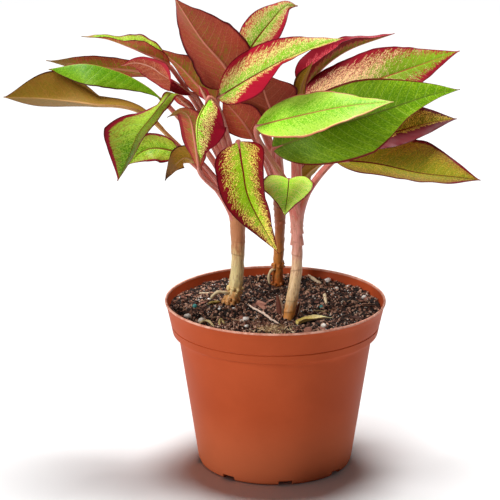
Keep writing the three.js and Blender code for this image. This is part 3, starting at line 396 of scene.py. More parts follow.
UPPER = {
    "green": palette("#578f08", "#7aa81c", "#8ab03a", "#86201c", "#43120e", "#a8823c", 0.35, 0.16,
                     0.1, 0.1),
    "meadow": palette("#669a12", "#a3c43a", "#a5cc5c", "#98182a", "#5e1014", "#7d5a20", 0.36, 0.1,
                      0.14, 0.4),
    "spring": palette("#93c134", "#bcd95c", "#cfe28c", "#9a3040", "#94283a", "#8d7030", 0.45, 0.14,
                      0.1, 0.0),
    "lime": palette("#78c414", "#b2de4a", "#bce060", "#f2e884", "#b86a50", "#a0683a", 0.45, 0.12,
                    0.16, 0.0),
    "lemon": palette("#8cc828", "#ecdc82", "#b4da60", "#ab132d", "#6a0c1a", "#6f2c14", 0.3, 0.05,
                     0.24, 0.9),
    "speckled": palette("#84a814", "#dfc55c", "#a9bb48", "#880a18", "#5a0610", "#7c0c18", 0.38,
                        0.05, 0.22, 1.0),
    "blush": palette("#7fa318", "#f0c490", "#b5c65a", "#a01026", "#740a1a", "#b04a30", 0.36, 0.05,
                     0.16, 0.9),
    "moss": palette("#767412", "#d0b548", "#8d9434", "#740a18", "#5a0814", "#8f1c24", 0.3, 0.04,
                    0.16, 0.8),
    "moss_plain": palette("#82821c", "#a98f2c", "#9aa040", "#8e1828", "#5c1014", "#74201a", 0.36,
                          0.08, 0.1, 0.6),
    "deep": palette("#5c8a0c", "#86a81e", "#9fbe50", "#7c2a20", "#7a2420", "#76802c", 0.3, 0.14,
                    0.08, 0.0),
    "wine": palette("#a81430", "#cc5a5e", "#b8303e", "#a00e28", "#780a1c", "#d0786e", 0.25, 0.06,
                    0.0, 0.5),
}
UNDER = {
    "olive": palette("#94761c", "#a07028", "#a48436", "#7a3a18", "#4c2410", "#c4955a", 0.4, 0.14,
                     0.1, 0.1),
    "rust": palette("#be5a40", "#8c8426", "#da8468", "#a82c30", "#541014", "#e08c76", 0.5, 0.04,
                    -0.1, 0.5),
    "rose": palette("#b44c36", "#c87850", "#e29c84", "#c82c40", "#861a22", "#ecb09c", 0.4, 0.1, 0.0,
                    0.4),
}
DRY = "#a27a45"
DRY_TIP = "#4a2a1c"

# How each cane is coloured: its foot, its bare length and its top, from which the stalks grow. The
# left and right canes' bare lengths are partly painted light: paler than their own tan, to lift the
# shade that the leaves cast on them.
CANE_COLOURS = {
    "left": {"foot": "#e8a860", "length": "#fde8a4", "top": "#cc8454"},
    "middle": {"foot": "#d07028", "length": "#dc8c3c", "top": "#b4643e"},
    "right": {"foot": "#e89848", "length": "#fcd6a0", "top": "#de9484"},
}
STALK_PINK = "#cc6a5c"
STALK_GREEN = "#a89a5a"


def unit(vectors):
    return vectors / np.linalg.norm(vectors, axis=-1, keepdims=True)


def ring(sides):
    """The angles of the points of a ring."""
    return 2 * np.pi * np.arange(sides) / sides


def smoothstep(value, low, high):
    share = np.clip((value - low) / (high - low), 0, 1)
    return share * share * (3 - 2 * share)


def value_along(values, share):
    """A value that changes evenly along a list, at each share of its length."""
    return np.interp(share, np.linspace(0, 1, len(values)) if len(values) > 1 else [0.5], values)


def direction_along(directions, share):
    return np.stack([value_along([d[k] for d in directions], share) for k in range(3)], axis=-1)


class Path:
    """A curve followed by share of its length; points_at gives its points by its own measure."""

    SAMPLES = 401

    def measure(self):
        self.even = np.linspace(0, 1, self.SAMPLES)
        steps = np.linalg.norm(np.diff(self.points_at(self.even), axis=0), axis=1)
        self.length = steps.sum()
        self.travelled = np.concatenate([[0], np.cumsum(steps)]) / self.length

    def at(self, share):
        return self.points_at(np.interp(share, self.travelled, self.even))

    def heading(self, share):
        step = 1e-3
        ahead = self.at(np.clip(np.atleast_1d(share) + step, 0, 1))
        behind = self.at(np.clip(np.atleast_1d(share) - step, 0, 1))
        return unit(ahead - behind)


class Curve(Path):
    """A smooth curve through points."""

    def __init__(self, points):
        inner = np.array(points, float)
        self.points = np.vstack([2 * inner[0] - inner[1], inner, 2 * inner[-1] - inner[-2]])
        self.measure()

    def points_at(self, param):
        spans = len(self.points) - 3
        place = np.atleast_1d(param) * spans
        index = np.minimum(place.astype(int), spans - 1)
        w = (place - index)[:, None]
        p0, p1, p2, p3 = (self.points[index + k] for k in range(4))
        leaving, arriving = (p2 - p0) / 2, (p3 - p1) / 2
        return ((2 * p1 - 2 * p2 + leaving + arriving) * w**3
                + (3 * p2 - 3 * p1 - 2 * leaving - arriving) * w**2 + leaving * w + p1)


class Bezier(Path):
    """A cubic curve between the first and the last of four corners."""

    def __init__(self, *corners):
        self.corners = corners
        self.measure()

    def points_at(self, param):
        w = np.atleast_1d(param)[:, None]
        a, b, c, d = self.corners
        return a * (1 - w)**3 + 3 * b * w * (1 - w)**2 + 3 * c * w * w * (1 - w) + d * w**3


class LatticeNoise:
    """Smooth repeatable noise between 0 and 1 over a plane."""

    SIZE = 128

    def __init__(self, seed):
        self.table = np.random.default_rng(seed).random((self.SIZE, self.SIZE))

    def at(self, u, v):
        i, j = np.floor(u).astype(int), np.floor(v).astype(int)
        a, b = smoothstep(u - i, 0, 1), smoothstep(v - j, 0, 1)
        i, j, next_i, next_j = (k % self.SIZE for k in (i, j, i + 1, j + 1))
        low = self.table[i, j] * (1 - a) + self.table[next_i, j] * a
        high = self.table[i, next_j] * (1 - a) + self.table[next_i, next_j] * a
        return low * (1 - b) + high * b


# ------------------------------------------------------------------ meshes


def grid_faces(rows, columns, start=0, closed=False, flip=False):
    """The quads of a grid of points, whose columns may run round in a ring."""
    faces = []
    for i in range(rows - 1):
        for j in range(columns if closed else columns - 1):
            k = (j + 1) % columns
            corners = [i * columns + j, i * columns + k, (i + 1) * columns + k,
                       (i + 1) * columns + j]
            corners = [start + c for c in corners]
            faces.append(corners[::-1] if flip else corners)
    return faces


def make_piece(name, points, faces, material, slot, replaced=(), attributes=None, smooth=True,
               sharp_angle=None):
    """A mesh object from points in millimetres, riding on the plant's one body."""
    mesh = bpy.data.meshes.new(name)
    mesh.from_pydata((np.asarray(points) * MM).tolist(), [], [list(f) for f in faces])
    mesh.validate()
    for key, values in (attributes or {}).items():
        values = np.asarray(values, np.float32)
        kind = "FLOAT" if values.ndim == 1 else "FLOAT_VECTOR"
        layer = mesh.attributes.new(key, kind, "POINT")
        layer.data.foreach_set("value" if values.ndim == 1 else "vector", values.ravel())
    if smooth:
        mesh.shade_smooth()
    else:
        mesh.shade_flat()
    if sharp_angle is not None:
        mesh.set_sharp_from_angle(angle=math.radians(sharp_angle))
    piece = bpy.data.objects.new(name, mesh)
    bpy.context.scene.collection.objects.link(piece)
    mesh.materials.append(material)
    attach(piece, "root")
    if replaced:
        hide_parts(*replaced)
    return piece


# ------------------------------------------------------------------ materials


def linear(text):
    """A colour written as #rrggbb, as the linear colour a shader takes."""
    parts = [int(text[k:k + 2], 16) / 255 for k in (1, 3, 5)]
    straight = [c / 12.92 if c <= 0.04045 else ((c + 0.055) / 1.055) ** 2.4 for c in parts]
    return (*straight, 1.0)


class Nodes:
    """A material's node tree, built one call a node. Values may be numbers or sockets."""

    def __init__(self, name, roughness=0.5, specular=0.5):
        self.material = bpy.data.materials.new(name)
        self.material.use_nodes = True
        self.tree = self.material.node_tree
        self.shader = self.tree.nodes["Principled BSDF"]
        self.shader.inputs["Roughness"].default_value = roughness
        self.shader.inputs["Specular IOR Level"].default_value = specular

    def new(self, kind, values=(), **settings):
        """A node with these settings, and with these values in its first inputs."""
        node = self.tree.nodes.new(kind)
        for key, value in settings.items():
            setattr(node, key, value)
        for value, socket in zip(values, node.inputs):
            self.put(value, socket)
        return node

    def put(self, value, socket):
        if isinstance(value, bpy.types.NodeSocket):
            self.tree.links.new(value, socket)
        else:
            socket.default_value = value

    def math(self, operation, *values):
        return self.new("ShaderNodeMath", values, operation=operation).outputs[0]

    def times(self, first, second):
        return self.math("MULTIPLY", first, second)

    def scale_add(self, value, factor, extra):
        return self.math("MULTIPLY_ADD", value, factor, extra)

    def centred(self, value):
        return self.math("SUBTRACT", value, 0.5)

    def step(self, value, low, high):
        """0 below low, 1 above high, smooth between."""
        return self.new("ShaderNodeMapRange", (value, low, high),
                        interpolation_type="SMOOTHSTEP").outputs[0]

    def fall(self, value, low, high):
        """1 below low, 0 above high, smooth between."""
        return self.math("SUBTRACT", 1.0, self.step(value, low, high))

    def mix(self, share, first, second, mode="MIX"):
        node = self.new("ShaderNodeMix", [share], data_type="RGBA", blend_type=mode)
        for value, socket in ((first, node.inputs[6]), (second, node.inputs[7])):
            self.put(linear(value) if isinstance(value, str) else value, socket)
        return node.outputs[2]

    def noise(self, place, scale, detail=3.0, roughness=0.55):
        """Noise between 0 and 1. scale is one number, or one for each direction of place."""
        if isinstance(scale, tuple):
            node = self.new("ShaderNodeVectorMath", (place, scale), operation="MULTIPLY")
            place, scale = node.outputs[0], 1.0
        node = self.new("ShaderNodeTexNoise")
        self.put(place, node.inputs["Vector"])
        node.inputs["Scale"].default_value = scale
        node.inputs["Detail"].default_value = detail
        node.inputs["Roughness"].default_value = roughness
        return node.outputs["Fac"]

    def parts(self, vector):
        return self.new("ShaderNodeSeparateXYZ", [vector]).outputs

    def attribute(self, name):
        """A mesh attribute as its vector and its three parts."""
        vector = self.new("ShaderNodeAttribute", attribute_name=name).outputs["Vector"]
        return vector, *self.parts(vector)

    def number(self, name):
        return self.new("ShaderNodeAttribute", attribute_name=name).outputs["Fac"]

    def position(self):
        """The point on the piece, in metres, in the frame that the piece rides on."""
        return self.new("ShaderNodeTexCoord").outputs["Object"]

    def bump(self, height, strength, distance):
        node = self.new("ShaderNodeBump")
        node.inputs["Strength"].default_value = strength
        node.inputs["Distance"].default_value = distance
        self.put(height, node.inputs["Height"])
        self.put(node.outputs[0], self.shader.inputs["Normal"])

    def finish(self, colour, roughness=None):
        self.put(colour, self.shader.inputs["Base Color"])
        if roughness is not None:
            self.put(roughness, self.shader.inputs["Roughness"])
        return self.material


def leaf_side(nodes, colours, maps):
    """The colour of one side of a leaf."""
    spread = nodes.scale_add(maps["near"], colours["spread"] * 0.5, maps["pale"])
    threshold = nodes.math("SUBTRACT", 0.60 - 0.20 * colours["share"], spread)
    low = nodes.math("SUBTRACT", threshold, colours["soft"] / 2)
    high = nodes.math("ADD", threshold, colours["soft"] / 2)
    blotch = nodes.step(maps["mottle"], low, high)
    colour = nodes.mix(blotch, colours["body"], colours["blotch"])
    colour = nodes.mix(nodes.times(maps["vein"], 0.5), colour, colours["vein"])
    # Painted light and shade: the leaf's colour is scaled by its light, which is partly its own
    # lightness, and mottled by the grain.
    shade = nodes.times(maps["light"], nodes.scale_add(maps["grain"], 1.8, 0.12))
    colour = nodes.mix(1.0, colour, shade, mode="MULTIPLY")
    fleck = nodes.times(maps["fleck"], colours["fleck"])
    colour = nodes.mix(fleck, colour, colours["margin"])
    edge = nodes.mix(nodes.times(maps["grain"], 0.5), colours["margin"], colours["rim"])
    colour = nodes.mix(maps["teeth"], colour, edge)
    colour = nodes.mix(maps["rib"], colour, colours["rib"])
    return nodes.mix(maps["rim"], colour, colours["rim"])


def leaf_maps(nodes):
    """The patterns that both sides of a leaf are coloured by, each from 0 to 1."""
    place, across, along_vein, _ = nodes.attribute("place")
    _, along, out, under = nodes.attribute("share")
    _, margin_level, jag, dry = nodes.attribute("zone")
    # The light part of this attribute is partly painted light and painted shade, partly the leaf's
    # own lightness.
    _, pale, light, _ = nodes.attribute("tone")
    streak = nodes.noise(place, (0.13, 0.62, 1), 4.0, 0.65)
    patches = nodes.noise(place, (0.16, 0.30, 1), 4.0, 0.6)
    grain = nodes.noise(place, (0.95, 1.45, 1), 4.0, 0.7)
    specks = nodes.noise(place, (1.1, 1.7, 1.3), 2.0, 0.6)
    reach = nodes.times(nodes.centred(streak), jag)
    level = nodes.scale_add(reach, 3.2, margin_level)
    level = nodes.scale_add(nodes.centred(grain), 0.22, level)
    near = nodes.step(level, -0.6, -0.1)
    fleck = nodes.step(nodes.scale_add(near, 0.16, specks), 0.62, 0.66)
    vein_place = nodes.math("PINGPONG", nodes.math("DIVIDE", along_vein, BLADE["vein_pitch"]), 0.5)
    rib_edge = nodes.scale_add(along, 0.75, nodes.math("ABSOLUTE", across))
    dry_level = nodes.scale_add(nodes.centred(streak), 0.8, dry)
    return {
        "teeth": nodes.step(level, -0.02, 0.03),
        "near": near,
        "fleck": nodes.times(fleck, nodes.step(level, -0.8, -0.45)),
        "mottle": nodes.scale_add(grain, 0.7, nodes.times(patches, 0.3)),
        "grain": grain,
        "vein": nodes.fall(vein_place, 0.01, 0.06),
        "rib": nodes.fall(rib_edge, 0.55, 1.15),
        "rim": nodes.step(out, 0.925, 0.965),
        "dry": nodes.step(dry_level, 0.25, 0.6),
        "tip": nodes.step(dry_level, 0.75, 1.0),
        "under": under,
        "pale": pale,
        "light": light,
    }


@functools.cache
def leaf_material(top, under):
    nodes = Nodes(f"leaf_{top}_{under}", specular=0.13)
    maps = leaf_maps(nodes)
    upper = leaf_side(nodes, UPPER[top], maps)
    lower = leaf_side(nodes, UNDER[under], maps)
    colour = nodes.mix(maps["under"], upper, lower)
    colour = nodes.mix(maps["dry"], colour, DRY)
    colour = nodes.mix(maps["tip"], colour, DRY_TIP)
    roughness = nodes.scale_add(maps["grain"], 0.16, 0.34)
    roughness = nodes.scale_add(maps["under"], 0.14, roughness)
    nodes.bump(nodes.scale_add(maps["vein"], -0.6, maps["grain"]), 0.35, 0.25 * MM)
    return nodes.finish(colour, roughness)


def pot_material():
    """Terracotta-coloured moulded plastic, scuffed pale along the lip, and painted paler towards
    its foot as painted light against the shade round its base.
    """
    nodes = Nodes("terracotta_plastic", specular=0.08)
    spot = nodes.position()
    clouds = nodes.noise(spot, 22.0, 4.0)
    fine = nodes.noise(spot, 900.0, 2.0)
    scuff = nodes.step(nodes.noise(spot, 160.0, 5.0, 0.7), 0.40, 0.62)
    height = nodes.parts(spot)[2]
    lip = nodes.step(height, (POT["height"] - 1.5) * MM, (POT["height"] - 0.9) * MM)
    colour = nodes.mix(nodes.step(clouds, 0.35, 0.68), "#b34d28", "#bc532d")
    colour = nodes.mix(nodes.times(fine, 0.12), colour, "#a5431f")
    colour = nodes.mix(nodes.times(lip, nodes.scale_add(scuff, 0.5, 0.45)), colour, "#f0b8a2")
    # Painted light: paler towards the foot, lifting the shade that falls round the base.
    foot = nodes.fall(height, 0.0, POT["painted_light_foot"] * MM)
    colour = nodes.mix(nodes.times(foot, 0.55), colour, "#d47850")
    nodes.bump(nodes.scale_add(clouds, 0.5, fine), 0.10, 0.2 * MM)
    return nodes.finish(colour, nodes.scale_add(clouds, 0.16, 0.44))


def grain_material(name, colours, roughness, scale=700.0, strength=0.6):
    """Loose matter: the colours run by each grain's own tint, mottled by noise."""
    nodes = Nodes(name, roughness)
    speck = nodes.noise(nodes.position(), scale, 4.0, 0.7)
    tint = nodes.scale_add(nodes.centred(speck), 0.7, nodes.number("tint"))
    colour = linear(colours[0])
    for k, text in enumerate(colours[1:]):
        edge = (k + 1) / len(colours)
        colour = nodes.mix(nodes.step(tint, edge - 0.12, edge + 0.12), colour, text)
    nodes.bump(speck, strength, 0.6 * MM)
    return nodes.finish(colour)


def stem_material(name):
    """Cane and stalks: share holds height (2 on roots), stalk or cane, and leaf scar."""
    colours = CANE_COLOURS[name]
    nodes = Nodes(f"cane_{name}")
    place = nodes.attribute("place")[0]
    _, height, stalk, scar = nodes.attribute("share")
    fibre = nodes.noise(place, (1.1, 0.12, 1), 4.0, 0.6)
    blotch = nodes.noise(place, (0.22, 0.16, 1), 5.0, 0.65)
    level = nodes.scale_add(nodes.centred(blotch), 0.5, height)
    # The bare length's colour is partly painted light, made paler to lift the shade of the leaves.
    cane = nodes.mix(nodes.step(level, 0.10, 0.26), colours["foot"], colours["length"])
    cane = nodes.mix(nodes.step(level, 0.38, 0.72), cane, colours["top"])
    cane = nodes.mix(nodes.times(nodes.step(blotch, 0.54, 0.64), 0.6), cane, "#b47a48")
    cane = nodes.mix(nodes.times(nodes.step(fibre, 0.54, 0.64), 0.45), cane, "#9c6a42")
    cane = nodes.mix(nodes.times(scar, 0.6), cane, "#7c4c2a")
    cane = nodes.mix(nodes.step(height, 1.4, 1.6), cane, "#e6cfa2")
    green = nodes.times(nodes.step(blotch, 0.52, 0.62), 0.35)
    stem = nodes.mix(green, STALK_PINK, STALK_GREEN)
    stem = nodes.mix(nodes.times(nodes.step(fibre, 0.50, 0.62), 0.5), stem, "#f2c0b0")
    nodes.bump(nodes.scale_add(blotch, 0.5, fibre), 0.35, 0.3 * MM)
    return nodes.finish(nodes.mix(stalk, cane, stem), nodes.scale_add(fibre, 0.2, 0.38))


def floor_material():
    nodes = Nodes("floor", 0.6)
    shade = nodes.noise(nodes.position(), 3.0, 2.0)
    return nodes.finish(nodes.mix(shade, "#f4f4f4", "#fafafa"))


# ------------------------------------------------------------------ leaves


def outline(t, leaf):
    """Half width of a blade as a share of its widest, at share t from base to tip."""
    widest = leaf["widest"]
    growing = np.minimum(t / widest, 1)
    before = (1 - (1 - growing) ** BLADE["base_round"]) ** leaf["taper"]
    narrowing = np.clip((t - widest) / (1 - widest), 0, 1)
    after = np.cos(np.pi / 2 * narrowing) ** BLADE["tip_round"]
    return np.where(t < widest, before, after)


def by_half(leaf, key, t, s):
    """A value given from base to tip for each half, over the grid of t and s."""
    left, right = (value_along(leaf[side][key], t)[:, None] for side in ("left", "right"))
    return np.where(s[None, :] > 0, right, left)


def blade_section(leaf, t, s):
    """How far out and up each point is by the folds and curls, as shares of the half's width, and
    the angle at which it faces."""
    out_share = np.abs(s)[None, :]
    fold = np.radians(by_half(leaf, "fold", t, s))
    curl = np.radians(by_half(leaf, "curl", t, s))
    angle = fold - curl * out_share
    flat = np.abs(curl) < 1e-4
    safe = np.where(flat, 1, curl)
    out = np.where(flat, out_share * np.cos(fold), (np.sin(fold) - np.sin(angle)) / safe)
    up = np.where(flat, out_share * np.sin(fold), (np.cos(angle) - np.cos(fold)) / safe)
    return out, up, angle


def blade_relief(leaf, number, t, s, travel, width, vein):
    """How high each point stands by the ripple of the edge, unevenness and quilting."""
    out_share, side = np.abs(s)[None, :], np.sign(s)[None, :]
    height, count, start = leaf["wave"]
    fade = (np.minimum(1, 4 * t) * np.minimum(1, 4 * (1 - t)))[:, None]
    phase = 2 * np.pi * (count * t[:, None] + start) + np.where(s > 0, 0, 1.3)[None, :]
    relief = height * out_share**2 * fade * np.sin(phase)
    lumps = LatticeNoise(number)
    far_pitch, out_pitch = BLADE["sway_pitch"]
    sway = lumps.at(vein / far_pitch, out_share * width / out_pitch * side + 40) - 0.5
    ripple = lumps.at(travel / BLADE["ripple_pitch"] + 7, side * 9 + 60) - 0.5
    relief = relief + fade * (BLADE["sway"] * sway * out_share
                              + BLADE["ripple"] * ripple * out_share**4)
    quilting = np.abs(np.sin(np.pi * vein / BLADE["vein_pitch"])) ** 0.7 - 0.6
    inside = smoothstep(out_share, 0.02, 0.25) * (1 - smoothstep(out_share, 0.75, 1))
    return relief + BLADE["quilt"] * quilting * inside * np.minimum(1, width / 10)


def blade_maps(look, number, t, s, beside, vein):
    """What a leaf's material reads at each point, as attributes."""
    out_share = np.abs(s)[None, :]
    red_left, red_right = (value_along(red, t)[:, None] for red in look["red"])
    margin = np.where(s[None, :] > 0, red_right, red_left)
    level = out_share - 1 + margin + 0.6 * smoothstep(t, 0.94, 1.0)[:, None]
    # light is partly painted light and painted shade, as well as the leaf's own lightness.
    dry, pale, light = (value_along(look[key], t)[:, None] for key in ("dry", "pale", "light"))
    values = {
        "place": (beside * np.sign(s)[None, :], vein, number * 37.0),
        "share": (t[:, None], out_share, 0),
        "zone": (level, look["jag"], dry),
        "tone": (pale, light, 0),
    }
    return {key: np.stack([np.broadcast_to(part, beside.shape).ravel() for part in parts], axis=-1)
            for key, parts in values.items()}


def blade_grid(leaf, number):
    """The upper and lower points of a blade and what its material needs at each of them."""
    rib = Curve(leaf["rib"])
    t = np.linspace(0, 1, max(BLADE["least_rows"], round(rib.length / BLADE["row_pitch"])))
    even = np.linspace(-1, 1, 2 * BLADE["cells"] + 1)
    s = np.sign(even) * np.abs(even) ** BLADE["crowding"]
    out_share, side = np.abs(s)[None, :], np.sign(s)[None, :, None]
    travel = t[:, None] * rib.length

    along = rib.heading(t)
    facing = direction_along(leaf["faces"], t)
    normal = unit(facing - (facing * along).sum(1, keepdims=True) * along)
    across = np.cross(along, normal)[:, None, :]

    least = BLADE["base_half"] + (BLADE["tip_half"] - BLADE["base_half"]) * t
    widest = np.maximum(leaf["width"] / 2 * outline(t, leaf), least)
    width = widest[:, None] * by_half(leaf, "reach", t, s)
    beside = out_share * width
    vein = travel - BLADE["vein_slant"] * beside - BLADE["vein_bow"] * beside**2

    out, up, angle = blade_section(leaf, t, s)
    lift = width * up + blade_relief(leaf, number, t, s, travel, width, vein)
    middle = rib.at(t)[:, None, :] + side * (out * width)[:, :, None] * across
    middle = middle + lift[:, :, None] * normal[:, None, :]
    face = (np.cos(angle)[:, :, None] * normal[:, None, :]
            - side * np.sin(angle)[:, :, None] * across)
    face[:, BLADE["cells"]] = normal
    skin = BLADE["thickness"] + (BLADE["edge"] - BLADE["thickness"]) * out_share**2
    growth = 1 - t[:, None]
    hollow = BLADE["groove"] * np.exp(-(beside / BLADE["groove_width"]) ** 2)
    hollow = hollow * np.minimum(1, growth * 3)
    ridge = BLADE["rib_depth"] * growth * np.exp(-(beside / BLADE["rib_width"]) ** 2)
    upper = middle + (skin / 2 - hollow)[:, :, None] * face
    lower = middle - (skin / 2 + ridge)[:, :, None] * face
    return upper, lower, blade_maps(leaf["look"], number, t, s, beside, vein)


def sheet_points(upper, lower):
    return np.concatenate([upper.reshape(-1, 3), lower.reshape(-1, 3)])


def sheet_faces(rows, columns):
    """The faces of a closed sheet between an upper and a lower grid of points."""
    size = rows * columns
    faces = grid_faces(rows, columns) + grid_faces(rows, columns, start=size, flip=True)
    border = list(range(columns))
    border += [i * columns + columns - 1 for i in range(1, rows)]
    border += [(rows - 1) * columns + j for j in range(columns - 2, -1, -1)]
    border += [i * columns for i in range(rows - 2, 0, -1)]
    for a, b in zip(border, border[1:] + border[:1]):
        faces.append([b, a, a + size, b + size])
    return faces


def make_leaf(leaf, number, slot):
    upper, lower, maps = blade_grid(leaf, number)
    maps = {key: np.concatenate([value, value]) for key, value in maps.items()}
    maps["share"][upper[..., 0].size:, 2] = 1
    material = leaf_material(leaf["look"]["top"], leaf["look"]["under"])
    make_piece(f"{leaf['name']}_blade", sheet_points(upper, lower), sheet_faces(*upper.shape[:2]),
               material, slot, [leaf["name"]], maps, sharp_angle=60)


# ------------------------------------------------------------------ stems


class Body:
    """Points, faces and attributes gathered from several closed parts."""

    def __init__(self, *keys):
        self.points, self.faces, self.total = [], [], 0
        self.attributes = {key: [] for key in keys}

    def add(self, points, faces, **values):
        points = np.asarray(points, float).reshape(-1, 3)
        self.faces += [[self.total + c for c in face] for face in faces]
        self.points.append(points)
        self.total += len(points)
        for key, value in values.items():
            rows = np.atleast_2d(np.asarray(value, float))
            self.attributes[key].append(np.broadcast_to(rows, (len(points), rows.shape[1])))

    def add_tube(self, centres, radii, sides, frames, **values):
        self.add(tube_points(centres, radii, sides, frames), tube_faces(len(centres), sides),
                 **values)

    def piece(self, name, material, slot, replaced=(), **extra):
        values = {key: np.concatenate(rows) for key, rows in self.attributes.items()}
        values = {key: v.ravel() if v.shape[1] == 1 else v for key, v in values.items()}
        make_piece(name, np.concatenate(self.points), self.faces, material, slot, replaced,
                   values, **extra)


def ring_frames(centres, first=(1, 0, 0)):
    """Two directions across a line at each of its centres, without twist."""
    across = np.array(first, float)
    frames = []
    for heading in unit(np.gradient(centres, axis=0)):
        across = across - (across @ heading) * heading
        across = across / np.linalg.norm(across)
        frames.append((across, np.cross(heading, across)))
    return frames


def tube_points(centres, radii, sides, frames):
    """Rings round the centres. radii is one a ring, or one for each point of each ring."""
    turns = ring(sides)
    radii = np.asarray(radii, float)
    if radii.ndim == 1:
        radii = np.repeat(radii[:, None], sides, axis=1)
    rings = [centre + row[:, None] * (np.cos(turns)[:, None] * a + np.sin(turns)[:, None] * b)
             for centre, row, (a, b) in zip(centres, radii, frames)]
    return np.concatenate([*rings, centres[:1], centres[-1:]])


def tube_faces(rings, sides):
    faces = grid_faces(rings, sides, closed=True)
    foot, head = rings * sides, rings * sides + 1
    for j in range(sides):
        k = (j + 1) % sides
        faces.append([foot, k, j])
        faces.append([head, (rings - 1) * sides + j, (rings - 1) * sides + k])
    return faces


def tube_maps(centres, radii, sides, seed, share):
    """The place and share attributes of a tube's points."""
    steps = np.linalg.norm(np.diff(centres, axis=0), axis=1)
    travel = np.concatenate([[0], np.cumsum(steps)])
    turns = ring(sides)
    mean = np.mean(radii)
    place = [[mean * 2 * np.cos(turn), far, seed + mean * 2 * np.sin(turn)]
             for far in travel for turn in turns]
    place += [[0, travel[0], seed], [0, travel[-1], seed]]
    rows = np.asarray(share, float)
    shares = np.concatenate([rows.reshape(-1, 3), rows[0, :1], rows[-1, :1]])
    return np.array(place), shares


def cane_scars(t, length, rng):
    """The rings that fallen leaves left on a cane: how far they stand out and how dark they are."""
    scars = np.cumsum(rng.uniform(0.8, 1.25, 14) * STEM["scar_every"]) / length
    lean = rng.uniform(0, 2 * np.pi, len(scars))
    turns = ring(STEM["sides"])
    bump = np.zeros((len(t), STEM["sides"]))
    mark = np.zeros((len(t), STEM["sides"]))
    for at, phase in zip(scars[scars < 0.97], lean):
        slant = 0.9 * np.sin(turns + phase)[None, :] / length
        gap = (t[:, None] - at - slant) * length
        reach = 0.55 + 0.45 * np.sin(turns + 2 * phase)[None, :]
        bump += STEM["scar_height"] * reach * np.exp(-(gap / STEM["scar_width"]) ** 2)
        mark += reach * np.exp(-((gap + 0.5) / STEM["mark_width"]) ** 2)
    return bump, mark


def add_cane(body, name, rng):
    cane, sides = CANES[name], STEM["sides"]
    axis = Curve(cane["axis"])
    t = np.linspace(0, 1, STEM["rows"])
    travel = t[:, None] * axis.length
    bump, mark = cane_scars(t, axis.length, rng)
    lumps = LatticeNoise(len(name))
    rough = lumps.at(travel / STEM["lump_pitch"], ring(sides)[None, :] * 2.2) - 0.5
    swell = STEM["foot_swell"] * np.exp(-(travel / STEM["swell_reach"]) ** 2)
    radius = value_along(cane["radii"], t)[:, None]
    radii = radius + bump + STEM["lump_height"] * rough + swell
    centres = axis.at(t)
    foot = [[*cane["axis"][0][:2], STEM["foot"]]]
    centres = np.concatenate([foot, centres, centres[-1:] + [0, 0, 2], centres[-1:] + [0, 0, 4]])
    radii = np.concatenate([radii[:1] * 0.8, radii, radii[-1:] * 0.8, radii[-1:] * 0.4])
    grow = np.concatenate([[0], t, [1, 1]])
    mark = np.concatenate([mark[:1], mark, np.zeros((2, sides))])
    share = np.stack([np.repeat(grow[:, None], sides, 1), np.zeros(mark.shape),
                      np.clip(mark, 0, 1)], axis=-1)
    place, shares = tube_maps(centres, radii, sides, 5.0 * len(name), share)
    body.add_tube(centres, radii, sides, ring_frames(centres), place=place, share=shares)


def stalk_line(leaf):
    """The centres of a leaf stalk, from inside the cane to under the start of the midrib."""
    axis = Curve(CANES[leaf["stem"]]["axis"])
    rib = Curve(leaf["rib"])
    start, end = axis.at(leaf["from"])[0], rib.at(0)[0]
    heading = rib.heading(0)[0]
    reach = np.linalg.norm(end - start) * 0.35
    arrival = unit(heading + unit(end - start))
    path = Bezier(start, start + [0, 0, reach], end - arrival * min(reach, PETIOLE["bend"]), end)
    t = np.linspace(0, 1, PETIOLE["steps"])
    under = rib.at(np.linspace(0.02, 0.1, 5))
    facing = direction_along(leaf["faces"], np.array([0.0]))[0]
    normal = unit(facing - (facing @ heading) * heading)
    return path.at(t), under - PETIOLE["under_rib"] * normal, normal, t


def stalk_frames(centres, grow, normal):
    """Directions round a stalk, whose channel turns from the cane's side to the midrib's top."""
    outwards = centres[-1] - centres[0]
    inward = -unit(np.array([outwards[0], outwards[1], 1e-3]))
    frames = []
    for heading, far in zip(unit(np.gradient(centres, axis=0)), grow):
        face = inward * (1 - far) + normal * far
        face = unit(face - (face @ heading) * heading)
        frames.append((face, np.cross(heading, face)))
    return frames


def add_stalk(body, leaf, seed):
    sides = PETIOLE["sides"]
    free, under, normal, t = stalk_line(leaf)
    centres = np.concatenate([free, under])
    grow = np.concatenate([t, np.ones(len(under))])
    slim = PETIOLE["tip_radius"]
    radius = np.concatenate([slim + (PETIOLE["foot_radius"] - slim) * (1 - t) ** 2,
                             slim * np.linspace(0.85, 0.3, len(under))])
    turns = ring(sides)
    from_face = np.minimum(turns, 2 * np.pi - turns)
    depth = PETIOLE["channel"] * (1 - 0.6 * grow)
    channel = np.exp(-(from_face / 0.55) ** 2)[None, :] * depth[:, None]
    spread = PETIOLE["wings"] * (1 - grow) ** 1.5
    wings = (np.sin(turns) ** 2)[None, :] * spread[:, None]
    radii = radius[:, None] * (1 - channel + wings)
    share = np.stack([np.ones((len(grow), sides)),
                      np.repeat(smoothstep(grow, 0.0, 0.25)[:, None], sides, 1),
                      np.zeros((len(grow), sides))], axis=-1)
    place, shares = tube_maps(centres, radius, sides, seed, share)
    frames = stalk_frames(centres, grow, normal)
    body.add_tube(centres, radii, sides, frames, place=place, share=shares)


